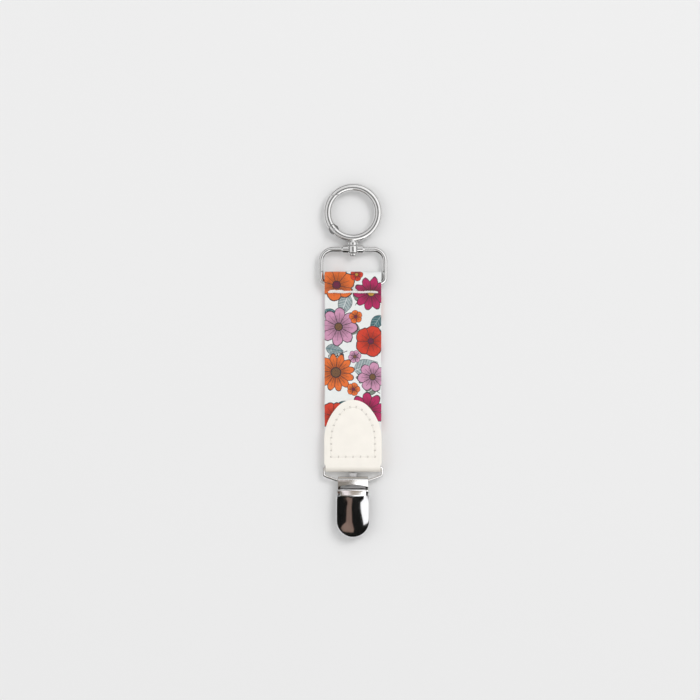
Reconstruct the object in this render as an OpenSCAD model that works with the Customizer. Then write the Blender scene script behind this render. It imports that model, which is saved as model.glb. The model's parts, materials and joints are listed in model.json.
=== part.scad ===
// Key strap: a snap ring on a swivel, a folded fabric strap, a leather tab and a flip-lever clip on a wire bail.
// Millimetres. The part lies on its back: +Y runs from the clip to the ring, +Z faces forward.

/* [Snap ring] */
// Clear inside diameter of the ring
ring_bore = 18.6; // [16:0.1:22]
// Diameter of the ring's round section
ring_section = 3.7; // [3.5:0.1:4.2]
// Direction of the gate's nose, counted from +X
nose_angle = 137; // [130:1:142]
// Direction of the gate's hinge, counted from +X
hinge_angle = 222; // [214:1:228]
// Slope of the parting face at the nose
nose_slope = 9; // [7:1:14]
// Gap across the parting face
nose_gap = 0.4; // [0.2:0.05:0.5]
// Diameter of the gate's hinge pin
hinge_pin_d = 1.2; // [0.9:0.1:1.4]
// Thickness of the hinge tongue on the gate
tongue_t = 1.3; // [1:0.1:1.6]
// Side clearance of the tongue in its slot
tongue_gap = 0.06; // [0.04:0.01:0.1]
// Wire of the gate's coil spring
spring_wire = 0.26; // [0.2:0.02:0.3]
// Turns of the gate's coil spring
spring_turns = 6; // [5:1:7]
// Pitch of the coil spring
spring_pitch = 0.7; // [0.68:0.01:0.76]

/* [Swivel] */
// Diameter of the swivel rivet's shank
shank_d = 2.4; // [2:0.1:2.6]
// Radial running clearance of the shank in the boss
swivel_fit = 0.06; // [0.04:0.01:0.1]
// End clearance of the swivel, at each face of the boss
swivel_play = 0.12; // [0.08:0.02:0.3]
// Diameter of the collar under the ring
collar_d = 4.6; // [4.2:0.1:5]
// Height of the collar under the ring
collar_h = 1.25; // [0.8:0.05:2]
// Diameter of the rivet's head
rivet_head_d = 3.3; // [3:0.1:4]
// Height of the rivet's head
rivet_head_h = 1.3; // [0.8:0.1:2]
// Diameter of the boss on the loop
boss_d = 5; // [4.6:0.1:5.1]
// Height of the boss along the swivel axis
boss_h = 3.5; // [2.6:0.1:4]
// Width of the boss with its shoulders
boss_flat = 8.6; // [6:0.2:9]
// Overall width of the boss with its tapered ends
boss_span = 10.6; // [9.4:0.2:14]

/* [Strap loop] */
// Wire of the loop
loop_wire = 2.4; // [2.2:0.1:2.6]
// Distance between the loop's two bars
loop_h = 14.7; // [13:0.1:20]
// Bend radius of the loop's ring-side corners, on the wire's centre
loop_top_r = 5.2; // [3:0.2:6]
// Bend radius of the loop's strap-side corners, on the wire's centre
loop_low_r = 2.2; // [1.6:0.1:2.6]
// Gap between the strap's edge and the loop's side
loop_side_gap = 0.4; // [0.3:0.05:1]

/* [Strap] */
// Width of the strap
strap_w = 25; // [20:0.5:32]
// Length from the tab's fold to the strap's fold
strap_len = 88; // [75:1:120]
// Thickness of one layer of the strap
strap_t = 1.1; // [1:0.05:1.3]
// Wall of the printed sleeve
sleeve_wall = 0.3; // [0.25:0.05:0.35]
// Radial clearance of the loop's bar in the strap's fold
bar_gap = 0.3; // [0.25:0.05:0.5]
// Play of the loop's bar along the strap's fold
bar_play = 2.4; // [1.5:0.1:4]
// Distance from the loop's bar to the seam below it
seam_gap = 2.8; // [2.6:0.1:5]
// Distance from the strap's edge to the end of the seam under the loop
seam_margin = 1.8; // [1:0.1:3]
// Stitch length of the seam under the loop
seam_pitch = 3.05; // [2.6:0.05:4]
// Thread of the seam under the loop
seam_thread = 0.9; // [0.7:0.05:1]

/* [Leather tab] */
// Overhang of the leather past the strap's edge
tab_overhang = 0.1; // [0:0.05:1]
// Narrowing of the tab at its fold, between the bail's sides
tab_taper = 1.2; // [1:0.1:2.6]
// Length of the tab from its fold to its nose
tab_len = 31.6; // [29:0.2:40]
// Thickness of the leather
tab_t = 1.2; // [1.1:0.05:1.4]
// Radius of the tab's nose
nose_r = 9.3; // [7:0.1:10]
// Radius of the tab's sides towards the nose
flank_r = 21; // [19:0.5:24]
// Distance of the seam from the leather's edge
tab_inset = 3; // [2.4:0.1:3.4]
// Distance of the cross seam from the tab's fold
cross_seam = 6.7; // [6.4:0.1:9]
// Stitch length of the tab's seam
tab_pitch = 2.8; // [2.4:0.1:3.6]
// Thread of the tab's seam
tab_thread = 0.5; // [0.4:0.05:0.6]

/* [Bail] */
// Wire of the bail
bail_wire = 1.2; // [1:0.05:1.3]
// Distance between the bail's two bars
bail_h = 5.8; // [5.6:0.1:9]
// Gap between the leather's fold and the bail's sides
bail_side_gap = 0.3; // [0.25:0.05:1.2]
// Rise of the bail's lower corners above its lower bar
bail_rise = 2.1; // [1.4:0.1:2.6]

/* [Clip frame] */
// Width of the clip's frame
clip_w = 13.2; // [12.4:0.1:14]
// Sheet thickness of the frame and the lever
sheet_t = 0.8; // [0.6:0.05:0.9]
// Overall thickness of the frame's curl
curl_h = 5; // [4.8:0.05:5.3]
// Length of the front band below the curl's centre
band_len = 1.9; // [1.2:0.1:2.1]
// Rise of the band towards the lever
band_rise = 0.35; // [0.2:0.05:0.5]
// Arch height of the band's lower edge
band_arch = 0.9; // [0.3:0.1:1.1]
// Distance from the curl's centre to the lever's pin
pin_drop = 4.1; // [4:0.1:5]
// Diameter of the lever's pin
lever_pin_d = 1.2; // [1:0.1:1.4]
// Running clearance of the pin in the lever
pin_fit = 0.06; // [0.04:0.01:0.1]
// Radius of the ears around the pin
ear_r = 1.3; // [1.15:0.05:1.35]
// Clearance of the lever's neck between the ears
neck_gap = 0.2; // [0.1:0.05:0.4]

/* [Lever] */
// Width of the lever's shield
lever_w = 14.7; // [14.4:0.1:16]
// Length from the lever's pin to its tip
lever_len = 20.2; // [18:0.2:26]
// Height of the shield's crown above the frame's back
crown_h = 6.6; // [6.3:0.1:7.5]
// Height of the shield's rim above the frame's back
rim_h = 2.3; // [2.2:0.05:2.6]
// Crown radius across the shield
crown_across_r = 15; // [12:0.5:20]
// Crown radius along the shield
crown_along_r = 38; // [30:1:60]

/* [Jaw] */
// Thickness of the jaw plate
jaw_t = 0.55; // [0.4:0.05:0.6]
// Width of the jaw plate
jaw_w = 10.8; // [9:0.2:11.2]
// Width of the jaw plate's tail
tail_w = 3.2; // [2:0.1:4]
// Thickness of one pad
pad_t = 0.85; // [0.7:0.05:0.9]
// Length of one pad along the clip
pad_len = 4.2; // [3:0.2:6]
// Gap between the closed pads
pad_gap = 0.15; // [0.1:0.05:0.3]
// Gap between the lever's toe and the closed jaw plate
toe_gap = 0.25; // [0.2:0.05:0.4]

/* [Hidden] */
$fn = 64;

// Widths that follow the strap's
tab_w = strap_w + 2 * tab_overhang;
tab_fold_w = tab_w - tab_taper;
seam_len = strap_w - 2 * seam_margin;

// Heights, from the back face at z = 0
ply_gap = 0.1;
jaw_lift = 0.15;
tab_mid = tab_t + strap_t + ply_gap / 2;
tab_face = 2 * tab_mid;
loop_z = strap_t + bar_gap + loop_wire / 2;
fold_r = loop_z - strap_t / 2;
curl_r = curl_h / 2;
curl_in = curl_r - sheet_t;
jaw_z = sheet_t + jaw_lift + jaw_t / 2;
jaw_tip_z = sheet_t + 2 * pad_t + pad_gap + jaw_t / 2;
toe_tip_r = 0.4;
toe_arm = 1.8;
pin_z = jaw_z + jaw_t / 2 + toe_gap + toe_tip_r + toe_arm;
roll_r = 1.5;

// Places along the strap, counted from the lever's tip, then centred on the whole length
tip0 = 0;
pin0 = tip0 + lever_len;
curl0 = pin0 + pin_drop;
curl_bar_rise = 0.7;
clip_bar0 = curl0 + curl_bar_rise;
tab_bar0 = clip_bar0 + bail_h;
bar_slack = 0.2;
tab_fold0 = tab_bar0 + tab_mid - tab_t - bail_wire / 2 - bar_slack;
tab_low0 = tab_fold0 - tab_mid;
tab_tip0 = tab_low0 + tab_len;
strap_top0 = tab_low0 + strap_len;
strap_fold0 = strap_top0 - loop_z;
loop_bar0 = strap_fold0 - bar_play;
seam0 = loop_bar0 - loop_wire / 2 - seam_gap;
loop_top0 = loop_bar0 + loop_h;
ring_low0 = loop_top0 + boss_h / 2 + swivel_play + collar_h;
ring_mid_r = (ring_bore + ring_section) / 2;
ring_out_r = ring_bore / 2 + ring_section;
ring0 = ring_low0 + ring_out_r;
whole = ring0 + ring_out_r;
shift = -whole / 2;
pin_y = pin0 + shift;
tip_y = tip0 + shift;
curl_y = curl0 + shift;
clip_bar_y = clip_bar0 + shift;
tab_bar_y = tab_bar0 + shift;
tab_fold_y = tab_fold0 + shift;
tab_low_y = tab_low0 + shift;
tab_tip_y = tab_tip0 + shift;
strap_fold_y = strap_fold0 + shift;
loop_bar_y = loop_bar0 + shift;
seam_y = seam0 + shift;
loop_top_y = loop_top0 + shift;
ring_y = ring0 + shift;

// Gate hinge and spring
knuckle_swell = 0.25;
knuckle_r = ring_section / 2 + knuckle_swell;
knuckle_gap = 0.3;
cheek_h = ring_section * 0.78;
heel_step = 0.1;
heel_r = ring_section / 2 - heel_step;
heel_room = 0.3;
heel_flat = 1.2;
pin_proud = 0.1;
spring_r = 0.5;
spring_off = 0.6;
spring_room = 0.08;
spring_start = heel_flat + spring_room;
spring_sides = 6;
spring_end = spring_start + spring_turns * spring_pitch + spring_wire;
coil_gap = spring_pitch - spring_wire;
echo(coil_gap = coil_gap);

// Swivel lug under the ring, and the rivet's seat in it
lug_root = ring_mid_r + ring_section / 9;
lug_root_r = 1.5;
lug_end = ring_out_r + collar_h;
shank_root = ring_mid_r - ring_section / 18;
edge_break = 0.15;
boss_round = 0.6;

// Bends of the bail
bail_splay = 0.2;
bail_low_gap = 0.2;
bail_bend = 1.15;
bail_top_r = 0.8;

// Clip plates, pads and their pegs, from the lever's tip
plate_inset = 0.6;
jaw_inset = 1.8;
pad_inset = 3.4;
pad_margin = 0.8;
peg_r = 0.6;
peg_x = 3;
tooth_h = 0.25;
tooth_pitch = 0.84;
tail_rise = 1.7;
tail_len = 2.2;
bead_r = 0.42;
slot_room = 0.25;
shield_gap = 0.4;
crown_shift = 0.9;
crown_sweep = 80;
crown_depth = 9;
toe_root = 1.25;
neck_lap = 0.6;
neck_sink = 0.5;
neck_step = 0.25;
jaw_rise_from = 3.7;
jaw_rise_to = 7.2;
ear_foot = 1.4;
lever_pin_proud = 0.25;
neck_w = clip_w - 2 * sheet_t - 2 * neck_gap;
shield_top_y = pin_y - ear_r - shield_gap;
crown_y = (tip_y + pin_y) / 2 + crown_shift;
neck_z = crown_h - crown_along_r + sqrt(pow(crown_along_r, 2) - pow(shield_top_y - crown_y, 2)) - neck_step;
jaw_pivot_y = curl_y + tail_rise;

// Tab outline
flank_x = tab_w / 2 - flank_r;
flank_dy = sqrt(pow(flank_r - nose_r, 2) - flank_x * flank_x);
nose_y = tab_tip_y - nose_r;
spring_line_y = nose_y - flank_dy;
flank_angle = atan2(flank_dy, -flank_x);

// Small helpers for outlines, bent wires and threads
function unit(v) = v / norm(v);
function arc(c, r, a0, a1, n) = [for (i = [0:n]) c + r * [cos(a0 + (a1 - a0) * i / n), sin(a0 + (a1 - a0) * i / n)]];
function left(v) = [-v[1], v[0]];
function miter(p, i) =
    let (a = unit(p[max(i, 1)] - p[max(i, 1) - 1]))
    let (b = unit(p[min(i, len(p) - 2) + 1] - p[min(i, len(p) - 2)]))
    let (m = unit(left(a) + left(b)))
    m / (m * left(b));
function side(p, d) = [for (i = [0:len(p) - 1]) p[i] + d * miter(p, i)];
function reversed(p) = [for (i = [len(p) - 1:-1:0]) p[i]];
function band(p, t) = concat(side(p, t / 2), reversed(side(p, -t / 2)));

// The strap's path in Y and Z: front layer, over the loop's bar, back layer
tab_reach = 2.6;
ramp_gap = 0.8;
ramp_len = 13.2;
in_tab_y = tab_fold_y + tab_reach;
ramp_y = tab_tip_y + ramp_gap;
flat_y = ramp_y + ramp_len;
low_z = strap_t / 2;
back_z = tab_t + strap_t / 2;
ply = strap_t + ply_gap;
rise = [seam_y + seam_thread / 2 + 0.1, low_z + ply];
to_bar = [loop_bar_y, loop_z] - rise;
rise_angle = atan2(to_bar[1], to_bar[0]) + asin(fold_r / norm(to_bar));
strap_path = concat(
    [[in_tab_y, back_z + ply], [ramp_y, back_z + ply], [flat_y, low_z + ply], rise],
    arc([loop_bar_y, loop_z], fold_r, 90 + rise_angle, 90, 4),
    arc([strap_fold_y, loop_z], fold_r, 90, -90, 12),
    [[flat_y, low_z], [ramp_y, back_z], [in_tab_y, back_z]]);

// The leather's path in Y and Z: front, round the bail's bar, back
tab_path = concat(
    [[tab_tip_y + 1, tab_face - tab_t / 2]],
    arc([tab_fold_y, tab_mid], tab_mid - tab_t / 2, 90, 270, 12),
    [[tab_tip_y + 1, tab_t / 2]]);

function tab_outline(inset, low_y) = concat(
    [[tab_w / 2 - inset, low_y]],
    arc([flank_x, spring_line_y], flank_r - inset, 0, flank_angle, 10),
    arc([0, nose_y], nose_r - inset, flank_angle, 180 - flank_angle, 8),
    arc([-flank_x, spring_line_y], flank_r - inset, 180 - flank_angle, 180, 10),
    [[inset - tab_w / 2, low_y]]);

// The leather's outline is narrower at the fold, where the bail's sides stand beside it
pinch_room = 0.15;
pinch_len = 1;
pinch_y = tab_bar_y + bail_wire / 2 + pinch_room;
leather_outline = concat(
    [[tab_fold_w / 2, tab_low_y], [tab_fold_w / 2, pinch_y]],
    tab_outline(0, pinch_y + pinch_len),
    [[-tab_fold_w / 2, pinch_y], [-tab_fold_w / 2, tab_low_y]]);

// Stitch holes at even steps round the tab's seam
seam_line = tab_outline(tab_inset, tab_low_y + cross_seam);
seam_ring = concat(seam_line, [seam_line[0]]);
seam_at = [for (i = 0, s = 0; i < len(seam_ring);
    s = s + (i < len(seam_ring) - 1 ? norm(seam_ring[i + 1] - seam_ring[i]) : 0), i = i + 1) s];
seam_total = seam_at[len(seam_at) - 1];
seam_count = round(seam_total / tab_pitch);
seam_x = [for (i = [0:len(seam_ring) - 1]) [seam_at[i], seam_ring[i][0]]];
seam_yy = [for (i = [0:len(seam_ring) - 1]) [seam_at[i], seam_ring[i][1]]];
function seam_point(k) = let (s = seam_total * k / seam_count) [lookup(s, seam_x), lookup(s, seam_yy)];

tab_holes = [for (k = [0:seam_count - 1]) seam_point(k)];
strap_stitches = round(seam_len / seam_pitch);
strap_holes = [for (i = [0:strap_stitches]) [seam_len * (i / strap_stitches - 0.5), seam_y]];
thread_proud = 0.22;
thread_sunk = 0.02;

// A thread that lies on the face and dips at each hole
function lift(p, z) = [p[0], p[1], z];
function thread_line(holes, z, dip, closed) = concat(
    [for (i = [0:len(holes) - (closed ? 1 : 2)], f = [0, 0.25, 0.5, 0.75])
        lift(holes[i] + f * (holes[(i + 1) % len(holes)] - holes[i]), z - (f == 0 ? dip : 0))],
    closed ? [] : [lift(holes[len(holes) - 1], z - dip)]);
function along(p, i, closed) = closed
    ? unit(p[(i + 1) % len(p)] - p[(i + len(p) - 1) % len(p)])
    : unit(p[min(i + 1, len(p) - 1)] - p[max(i - 1, 0)]);

module tube(p, ref, r, sides, closed) {
    n = len(p);
    rings = [for (i = [0:n - 1])
        let (t = along(p, i, closed))
        let (s = unit(ref[i] - (ref[i] * t) * t))
        let (u = cross(s, t))
        for (j = [0:sides - 1]) p[i] + r * (cos(360 * j / sides) * s + sin(360 * j / sides) * u)];
    spans = closed ? n : n - 1;
    walls = [for (i = [0:spans - 1], j = [0:sides - 1])
        let (k = (i + 1) % n, m = (j + 1) % sides)
        each [[i * sides + j, i * sides + m, k * sides + m], [i * sides + j, k * sides + m, k * sides + j]]];
    caps = closed ? [] : [[for (j = [sides - 1:-1:0]) j], [for (j = [0:sides - 1]) (n - 1) * sides + j]];
    polyhedron(points = rings, faces = concat(walls, caps));
}

module thread(p, r, closed) {
    ref = [for (i = [0:len(p) - 1]) cross(along(p, i, closed), [0, 0, 1])];
    tube(p, ref, r, 6, closed);
}

wire_sink = 0.03;

// A round wire bent round the corners of a closed outline in the XY plane
module bent_wire(p, radii, d) {
    n = len(p);
    half = [for (i = [0:n - 1])
        acos(unit(p[(i + n - 1) % n] - p[i]) * unit(p[(i + 1) % n] - p[i])) / 2];
    reach = [for (i = [0:n - 1]) radii[i] / tan(half[i])];
    for (i = [0:n - 1]) {
        a = unit(p[(i + n - 1) % n] - p[i]);
        b = unit(p[(i + 1) % n] - p[i]);
        c = p[i] + unit(a + b) * radii[i] / sin(half[i]);
        s = p[i] + a * reach[i] - c;
        translate([c[0], c[1], 0])
            rotate([0, 0, atan2(s[1], s[0])])
                rotate_extrude(angle = 180 - 2 * half[i])
                    translate([radii[i], 0])
                        circle(d = d + wire_sink);
        from = p[i] + b * (reach[i] - wire_sink);
        run = norm(p[(i + 1) % n] - p[i]) - reach[i] - reach[(i + 1) % n] + 2 * wire_sink;
        translate([from[0], from[1], 0])
            rotate([0, 90, atan2(b[1], b[0])])
                cylinder(d = d, h = run);
    }
}

// A Y and Z outline carried across the width
module across(w) {
    rotate([90, 0, 90])
        linear_extrude(height = w, center = true)
            children();
}

module at_ring() {
    translate([0, ring_y, loop_z])
        children();
}

// Local X points outwards from the ring, local Y along it towards the body
module at_hinge() {
    rotate([0, 0, hinge_angle])
        translate([ring_mid_r, 0, 0])
            children();
}

// Local X runs along the parting face, local Y from the gate towards the body
module at_nose() {
    translate([ring_mid_r * cos(nose_angle), ring_mid_r * sin(nose_angle), 0])
        rotate([0, 0, nose_slope])
            children();
}

module ring_arc(a0, a1) {
    rotate([0, 0, a0])
        rotate_extrude(angle = a1 - a0)
            translate([ring_mid_r, 0])
                circle(d = ring_section);
}

// Swivel axis shapes: the outline is given as radius and distance below the ring's centre
module turned(p) {
    rotate([90, 0, 0])
        rotate_extrude()
            polygon(p);
}

module ring_body() {
    color("silver")
    at_ring()
    difference() {
        union() {
            ring_arc(hinge_angle - 13, 360 + nose_angle + 18);
            at_hinge()
                cylinder(r = knuckle_r, h = cheek_h, center = true);
            turned([[0, lug_root], [lug_root_r, lug_root], [collar_d / 2, ring_out_r + edge_break],
                [collar_d / 2, lug_end - edge_break], [collar_d / 2 - edge_break, lug_end], [0, lug_end]]);
        }
        at_nose()
            translate([-6, -8, -4])
                cube([12, 8 + nose_gap / 2, 8]);
        at_hinge() {
            difference() {
                translate([-4, -6, -4])
                    cube([8, 6, 8]);
                cylinder(r = knuckle_r, h = 10, center = true);
            }
            cylinder(r = knuckle_r + heel_room, h = tongue_t + 2 * tongue_gap, center = true);
            cylinder(d = hinge_pin_d, h = 10, center = true);
            translate([-spring_off, 0, 0])
                rotate([-90, 0, 0])
                    cylinder(r = spring_r + spring_wire / 2 + spring_room, h = spring_end);
        }
        turned([[0, shank_root], [shank_d / 2, shank_root], [shank_d / 2, lug_end + 1], [0, lug_end + 1]]);
    }
}

module ring_gate() {
    color("silver")
    at_ring()
    difference() {
        ring_arc(nose_angle - 22, hinge_angle + 8);
        at_nose()
            translate([-6, -nose_gap / 2, -4])
                cube([14, 8, 8]);
        at_hinge() {
            difference() {
                cylinder(r = knuckle_r + knuckle_gap, h = 10, center = true);
                cylinder(r = knuckle_r + 2, h = tongue_t, center = true);
            }
            difference() {
                translate([-5, 0, -5])
                    cube([10, 10, 10]);
                cylinder(r = heel_r, h = tongue_t, center = true);
            }
            translate([-5, heel_flat, -5])
                cube([10, 10, 10]);
            cylinder(r = hinge_pin_d / 2 + pin_fit, h = 10, center = true);
        }
    }
}

module gate_hinge_pin() {
    color("gainsboro")
    at_ring()
    at_hinge()
    cylinder(d = hinge_pin_d, h = ring_section + 2 * pin_proud, center = true);
}

module gate_spring() {
    steps = 10 * spring_turns;
    from = spring_start + spring_wire / 2;
    ref = [for (i = [0:steps]) [cos(36 * i), 0, sin(36 * i)]];
    path = [for (i = [0:steps])
        [spring_r * cos(36 * i) - spring_off, from + spring_pitch * i / 10, spring_r * sin(36 * i)]];
    color("gray")
    at_ring()
    at_hinge()
    tube(path, ref, spring_wire / 2, spring_sides, false);
}

module swivel_rivet() {
    head = lug_end + 2 * swivel_play + boss_h;
    r = shank_d / 2;
    h = rivet_head_d / 2;
    end = head + rivet_head_h;
    color("silver")
    at_ring()
    turned([[0, shank_root], [r, shank_root], [r, head], [h - edge_break, head], [h, head + edge_break],
        [h, end - 3 * edge_break], [h - edge_break, end - edge_break], [h - 4 * edge_break, end], [0, end]]);
}

module strap_loop() {
    x = strap_w / 2 + loop_side_gap + loop_wire / 2;
    b = boss_d / 2;
    e = boss_h / 2;
    color("silver")
    translate([0, 0, loop_z])
    difference() {
        union() {
            bent_wire([[x, loop_bar_y], [x, loop_top_y], [-x, loop_top_y], [-x, loop_bar_y]],
                [loop_low_r, loop_top_r, loop_top_r, loop_low_r], loop_wire);
            translate([0, loop_top_y, 0])
                turned(concat([[0, -e]], arc([b - boss_round, boss_round - e], boss_round, -90, 0, 4),
                    arc([b - boss_round, e - boss_round], boss_round, 0, 90, 4), [[0, e]]));
            for (s = [0, 1])
                translate([0, loop_top_y, 0])
                    mirror([s, 0, 0])
                        rotate([0, 90, 0])
                            rotate_extrude()
                                polygon([[0, 0], [e - wire_sink, 0], [e - wire_sink, boss_flat / 2],
                                    [loop_wire / 2 - wire_sink, boss_span / 2], [0, boss_span / 2]]);
        }
        translate([0, loop_top_y, 0])
            rotate([90, 0, 0])
                cylinder(r = shank_d / 2 + swivel_fit, h = boss_h + 4, center = true);
    }
}

module strap_sleeve() {
    color("ivory")
    difference() {
        across(strap_w)
            polygon(band(strap_path, strap_t));
        across(strap_w - 2 * sleeve_wall)
            polygon(band(strap_path, strap_t - 2 * sleeve_wall));
    }
}

module strap_core() {
    color("white")
    across(strap_w - 2 * sleeve_wall)
        polygon(band(strap_path, strap_t - 2 * sleeve_wall));
}

module strap_needle_thread() {
    color("white")
    thread(thread_line(strap_holes, 2 * strap_t + ply_gap + thread_proud * seam_thread, seam_thread / 3, false),
        seam_thread / 2, false);
}

module strap_bobbin_thread() {
    color("white")
    thread(thread_line(strap_holes, seam_thread / 2 + thread_sunk, -seam_thread / 9, false),
        seam_thread / 2, false);
}

module leather_tab() {
    color("linen")
    intersection() {
        across(tab_w + 4)
            polygon(band(tab_path, tab_t));
        translate([0, 0, -1])
            linear_extrude(height = tab_face + 2)
                polygon(leather_outline);
    }
}

module tab_needle_thread() {
    color("beige")
    thread(thread_line(tab_holes, tab_face + tab_thread / 10, 0.6 * tab_thread, true), tab_thread / 2, true);
}

module tab_bobbin_thread() {
    color("beige")
    thread(thread_line(tab_holes, tab_thread / 2 + thread_sunk, -0.4 * tab_thread, true), tab_thread / 2, true);
}

module clip_bail() {
    x = tab_fold_w / 2 + bail_side_gap + bail_wire / 2;
    knee = x - bail_splay;
    low = clip_w / 2 + bail_low_gap;
    color("silver")
    translate([0, 0, tab_mid])
    bent_wire([[low, clip_bar_y], [knee, clip_bar_y + bail_rise], [x, tab_bar_y],
        [-x, tab_bar_y], [-knee, clip_bar_y + bail_rise], [-low, clip_bar_y]],
        [bail_bend, bail_bend, bail_top_r, bail_top_r, bail_bend, bail_bend], bail_wire);
}

module plate_outline(w, tip, top) {
    translate([0, tip + w / 2])
        circle(d = w);
    translate([-w / 2, tip + w / 2])
        square([w, top - tip - w / 2]);
}

module pad_pegs(z0, z1, r) {
    for (s = [-1, 1])
        translate([s * peg_x, tip_y + pad_inset + pad_len / 2, z0])
            cylinder(r = r, h = z1 - z0);
}

module clip_frame() {
    band_z = curl_h - sheet_t;
    low = curl_y - band_len;
    arch_r = (pow(clip_w / 2, 2) + pow(band_arch, 2)) / (2 * band_arch);
    color("silver")
    difference() {
        union() {
            linear_extrude(height = sheet_t)
                plate_outline(clip_w, tip_y + plate_inset, curl_y);
            translate([0, curl_y, curl_r])
                rotate([0, 90, 0])
                    rotate_extrude(angle = 180)
                        translate([curl_in, -clip_w / 2])
                            square([sheet_t, clip_w]);
            difference() {
                across(clip_w)
                    polygon([[curl_y, band_z], [curl_y, curl_h], [low, curl_h + band_rise], [low, band_z + band_rise]]);
                translate([0, low + band_arch - arch_r, 0])
                    cylinder(r = arch_r, h = 20);
            }
            for (s = [-1, 1])
                translate([s * (clip_w - sheet_t) / 2, 0, 0])
                    across(sheet_t) {
                        translate([pin_y, pin_z])
                            circle(r = ear_r);
                        polygon([[pin_y - ear_r, sheet_t / 2], [pin_y + ear_r + ear_foot, sheet_t / 2],
                            [pin_y + ear_r * 0.94, pin_z + ear_r * 0.3], [pin_y - ear_r, pin_z]]);
                    }
        }
        translate([-tail_w / 2 - slot_room, curl_y + 0.5, jaw_z - bead_r - slot_room])
            cube([tail_w + 2 * slot_room, curl_r, 2 * bead_r + 3 * slot_room]);
        translate([0, pin_y, pin_z])
            rotate([0, 90, 0])
                cylinder(d = lever_pin_d, h = clip_w + 2, center = true);
        pad_pegs(-1, sheet_t + 1, peg_r);
    }
}

module teeth(z, up) {
    n = round(pad_len / tooth_pitch);
    step = pad_len / n;
    rows = [for (i = [0:n - 1]) each [[i * step, tooth_h], [(i + 0.5) * step, 0]]];
    line = concat(rows, [[pad_len, tooth_h]]);
    face = up ? [for (p = line) [p[0], pad_t - p[1]]] : [for (p = line) [p[0], pad_t - tooth_h + p[1]]];
    across(jaw_w - 2 * pad_margin)
        translate([tip_y + pad_inset, z])
            mirror([0, up ? 0 : 1])
                polygon(concat([[0, 0]], face, [[pad_len, 0]]));
}

module frame_pad() {
    color("dimgray") {
        teeth(sheet_t, true);
        pad_pegs(jaw_lift, sheet_t, peg_r);
    }
}

module jaw_pad() {
    z = jaw_tip_z - jaw_t / 2;
    color("dimgray") {
        teeth(z, false);
        pad_pegs(z, z + jaw_t, peg_r);
    }
}

module lever_pin() {
    color("gainsboro")
    translate([0, pin_y, pin_z])
    rotate([0, 90, 0])
    cylinder(d = lever_pin_d, h = clip_w + 2 * lever_pin_proud, center = true);
}

// Crowned solid under the shield's face, brought in from it by t
module crown(t) {
    r = crown_across_r - t;
    translate([0, crown_y, crown_h - crown_along_r])
        rotate([0, 90, 0])
            rotate([0, 0, 180 - crown_sweep / 2])
                rotate_extrude(angle = crown_sweep)
                    intersection() {
                        translate([crown_along_r - crown_across_r, 0])
                            circle(r = r);
                        translate([crown_along_r - crown_depth, -lever_w])
                            square(2 * lever_w);
                    }
}

module clip_lever() {
    top = shield_top_y;
    color("silver")
    difference() {
        union() {
            difference() {
                intersection() {
                    crown(0);
                    translate([0, 0, rim_h])
                        linear_extrude(height = 10)
                            plate_outline(lever_w, tip_y, top);
                }
                intersection() {
                    crown(sheet_t);
                    translate([0, 0, rim_h - 1])
                        linear_extrude(height = 10)
                            plate_outline(lever_w - 2 * sheet_t, tip_y + sheet_t, top + 1);
                }
            }
            across(neck_w) {
                translate([pin_y, pin_z])
                    circle(r = roll_r);
                translate([pin_y, pin_z - toe_arm])
                    circle(r = toe_tip_r);
                polygon([[pin_y - toe_root, pin_z - roll_r / 2], [pin_y - toe_tip_r, pin_z - toe_arm],
                    [pin_y + toe_tip_r, pin_z - toe_arm], [pin_y + toe_root, pin_z - roll_r / 2], [pin_y, pin_z]]);
                polygon([[pin_y, pin_z + neck_sink], [pin_y, pin_z + roll_r],
                    [top, neck_z], [top - neck_lap, neck_z], [top - neck_lap, pin_z - neck_sink],
                    [top, pin_z - neck_sink]]);
            }
        }
        translate([0, pin_y, pin_z])
            rotate([0, 90, 0])
                cylinder(r = lever_pin_d / 2 + pin_fit, h = clip_w + 2, center = true);
    }
}

module jaw_plate() {
    end_y = jaw_pivot_y + tail_len;
    path = [[end_y + 1, jaw_z], [pin_y - jaw_rise_from, jaw_z], [pin_y - jaw_rise_to, jaw_tip_z], [tip_y, jaw_tip_z]];
    color("lightgray")
    difference() {
        union() {
            intersection() {
                across(jaw_w + 2)
                    polygon(band(path, jaw_t));
                linear_extrude(height = 10) {
                    plate_outline(jaw_w, tip_y + jaw_inset, curl_y + curl_bar_rise);
                    translate([-tail_w / 2, curl_y])
                        square([tail_w, end_y - curl_y]);
                }
            }
            translate([0, jaw_pivot_y, jaw_z])
                rotate([0, 90, 0])
                    cylinder(r = bead_r, h = tail_w, center = true);
        }
        pad_pegs(0, 10, peg_r);
    }
}

ring_body();
ring_gate();
gate_hinge_pin();
gate_spring();
swivel_rivet();
strap_loop();
strap_sleeve();
strap_core();
strap_needle_thread();
strap_bobbin_thread();
leather_tab();
tab_needle_thread();
tab_bobbin_thread();
clip_bail();
clip_frame();
frame_pad();
clip_lever();
lever_pin();
jaw_plate();
jaw_pad();
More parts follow.
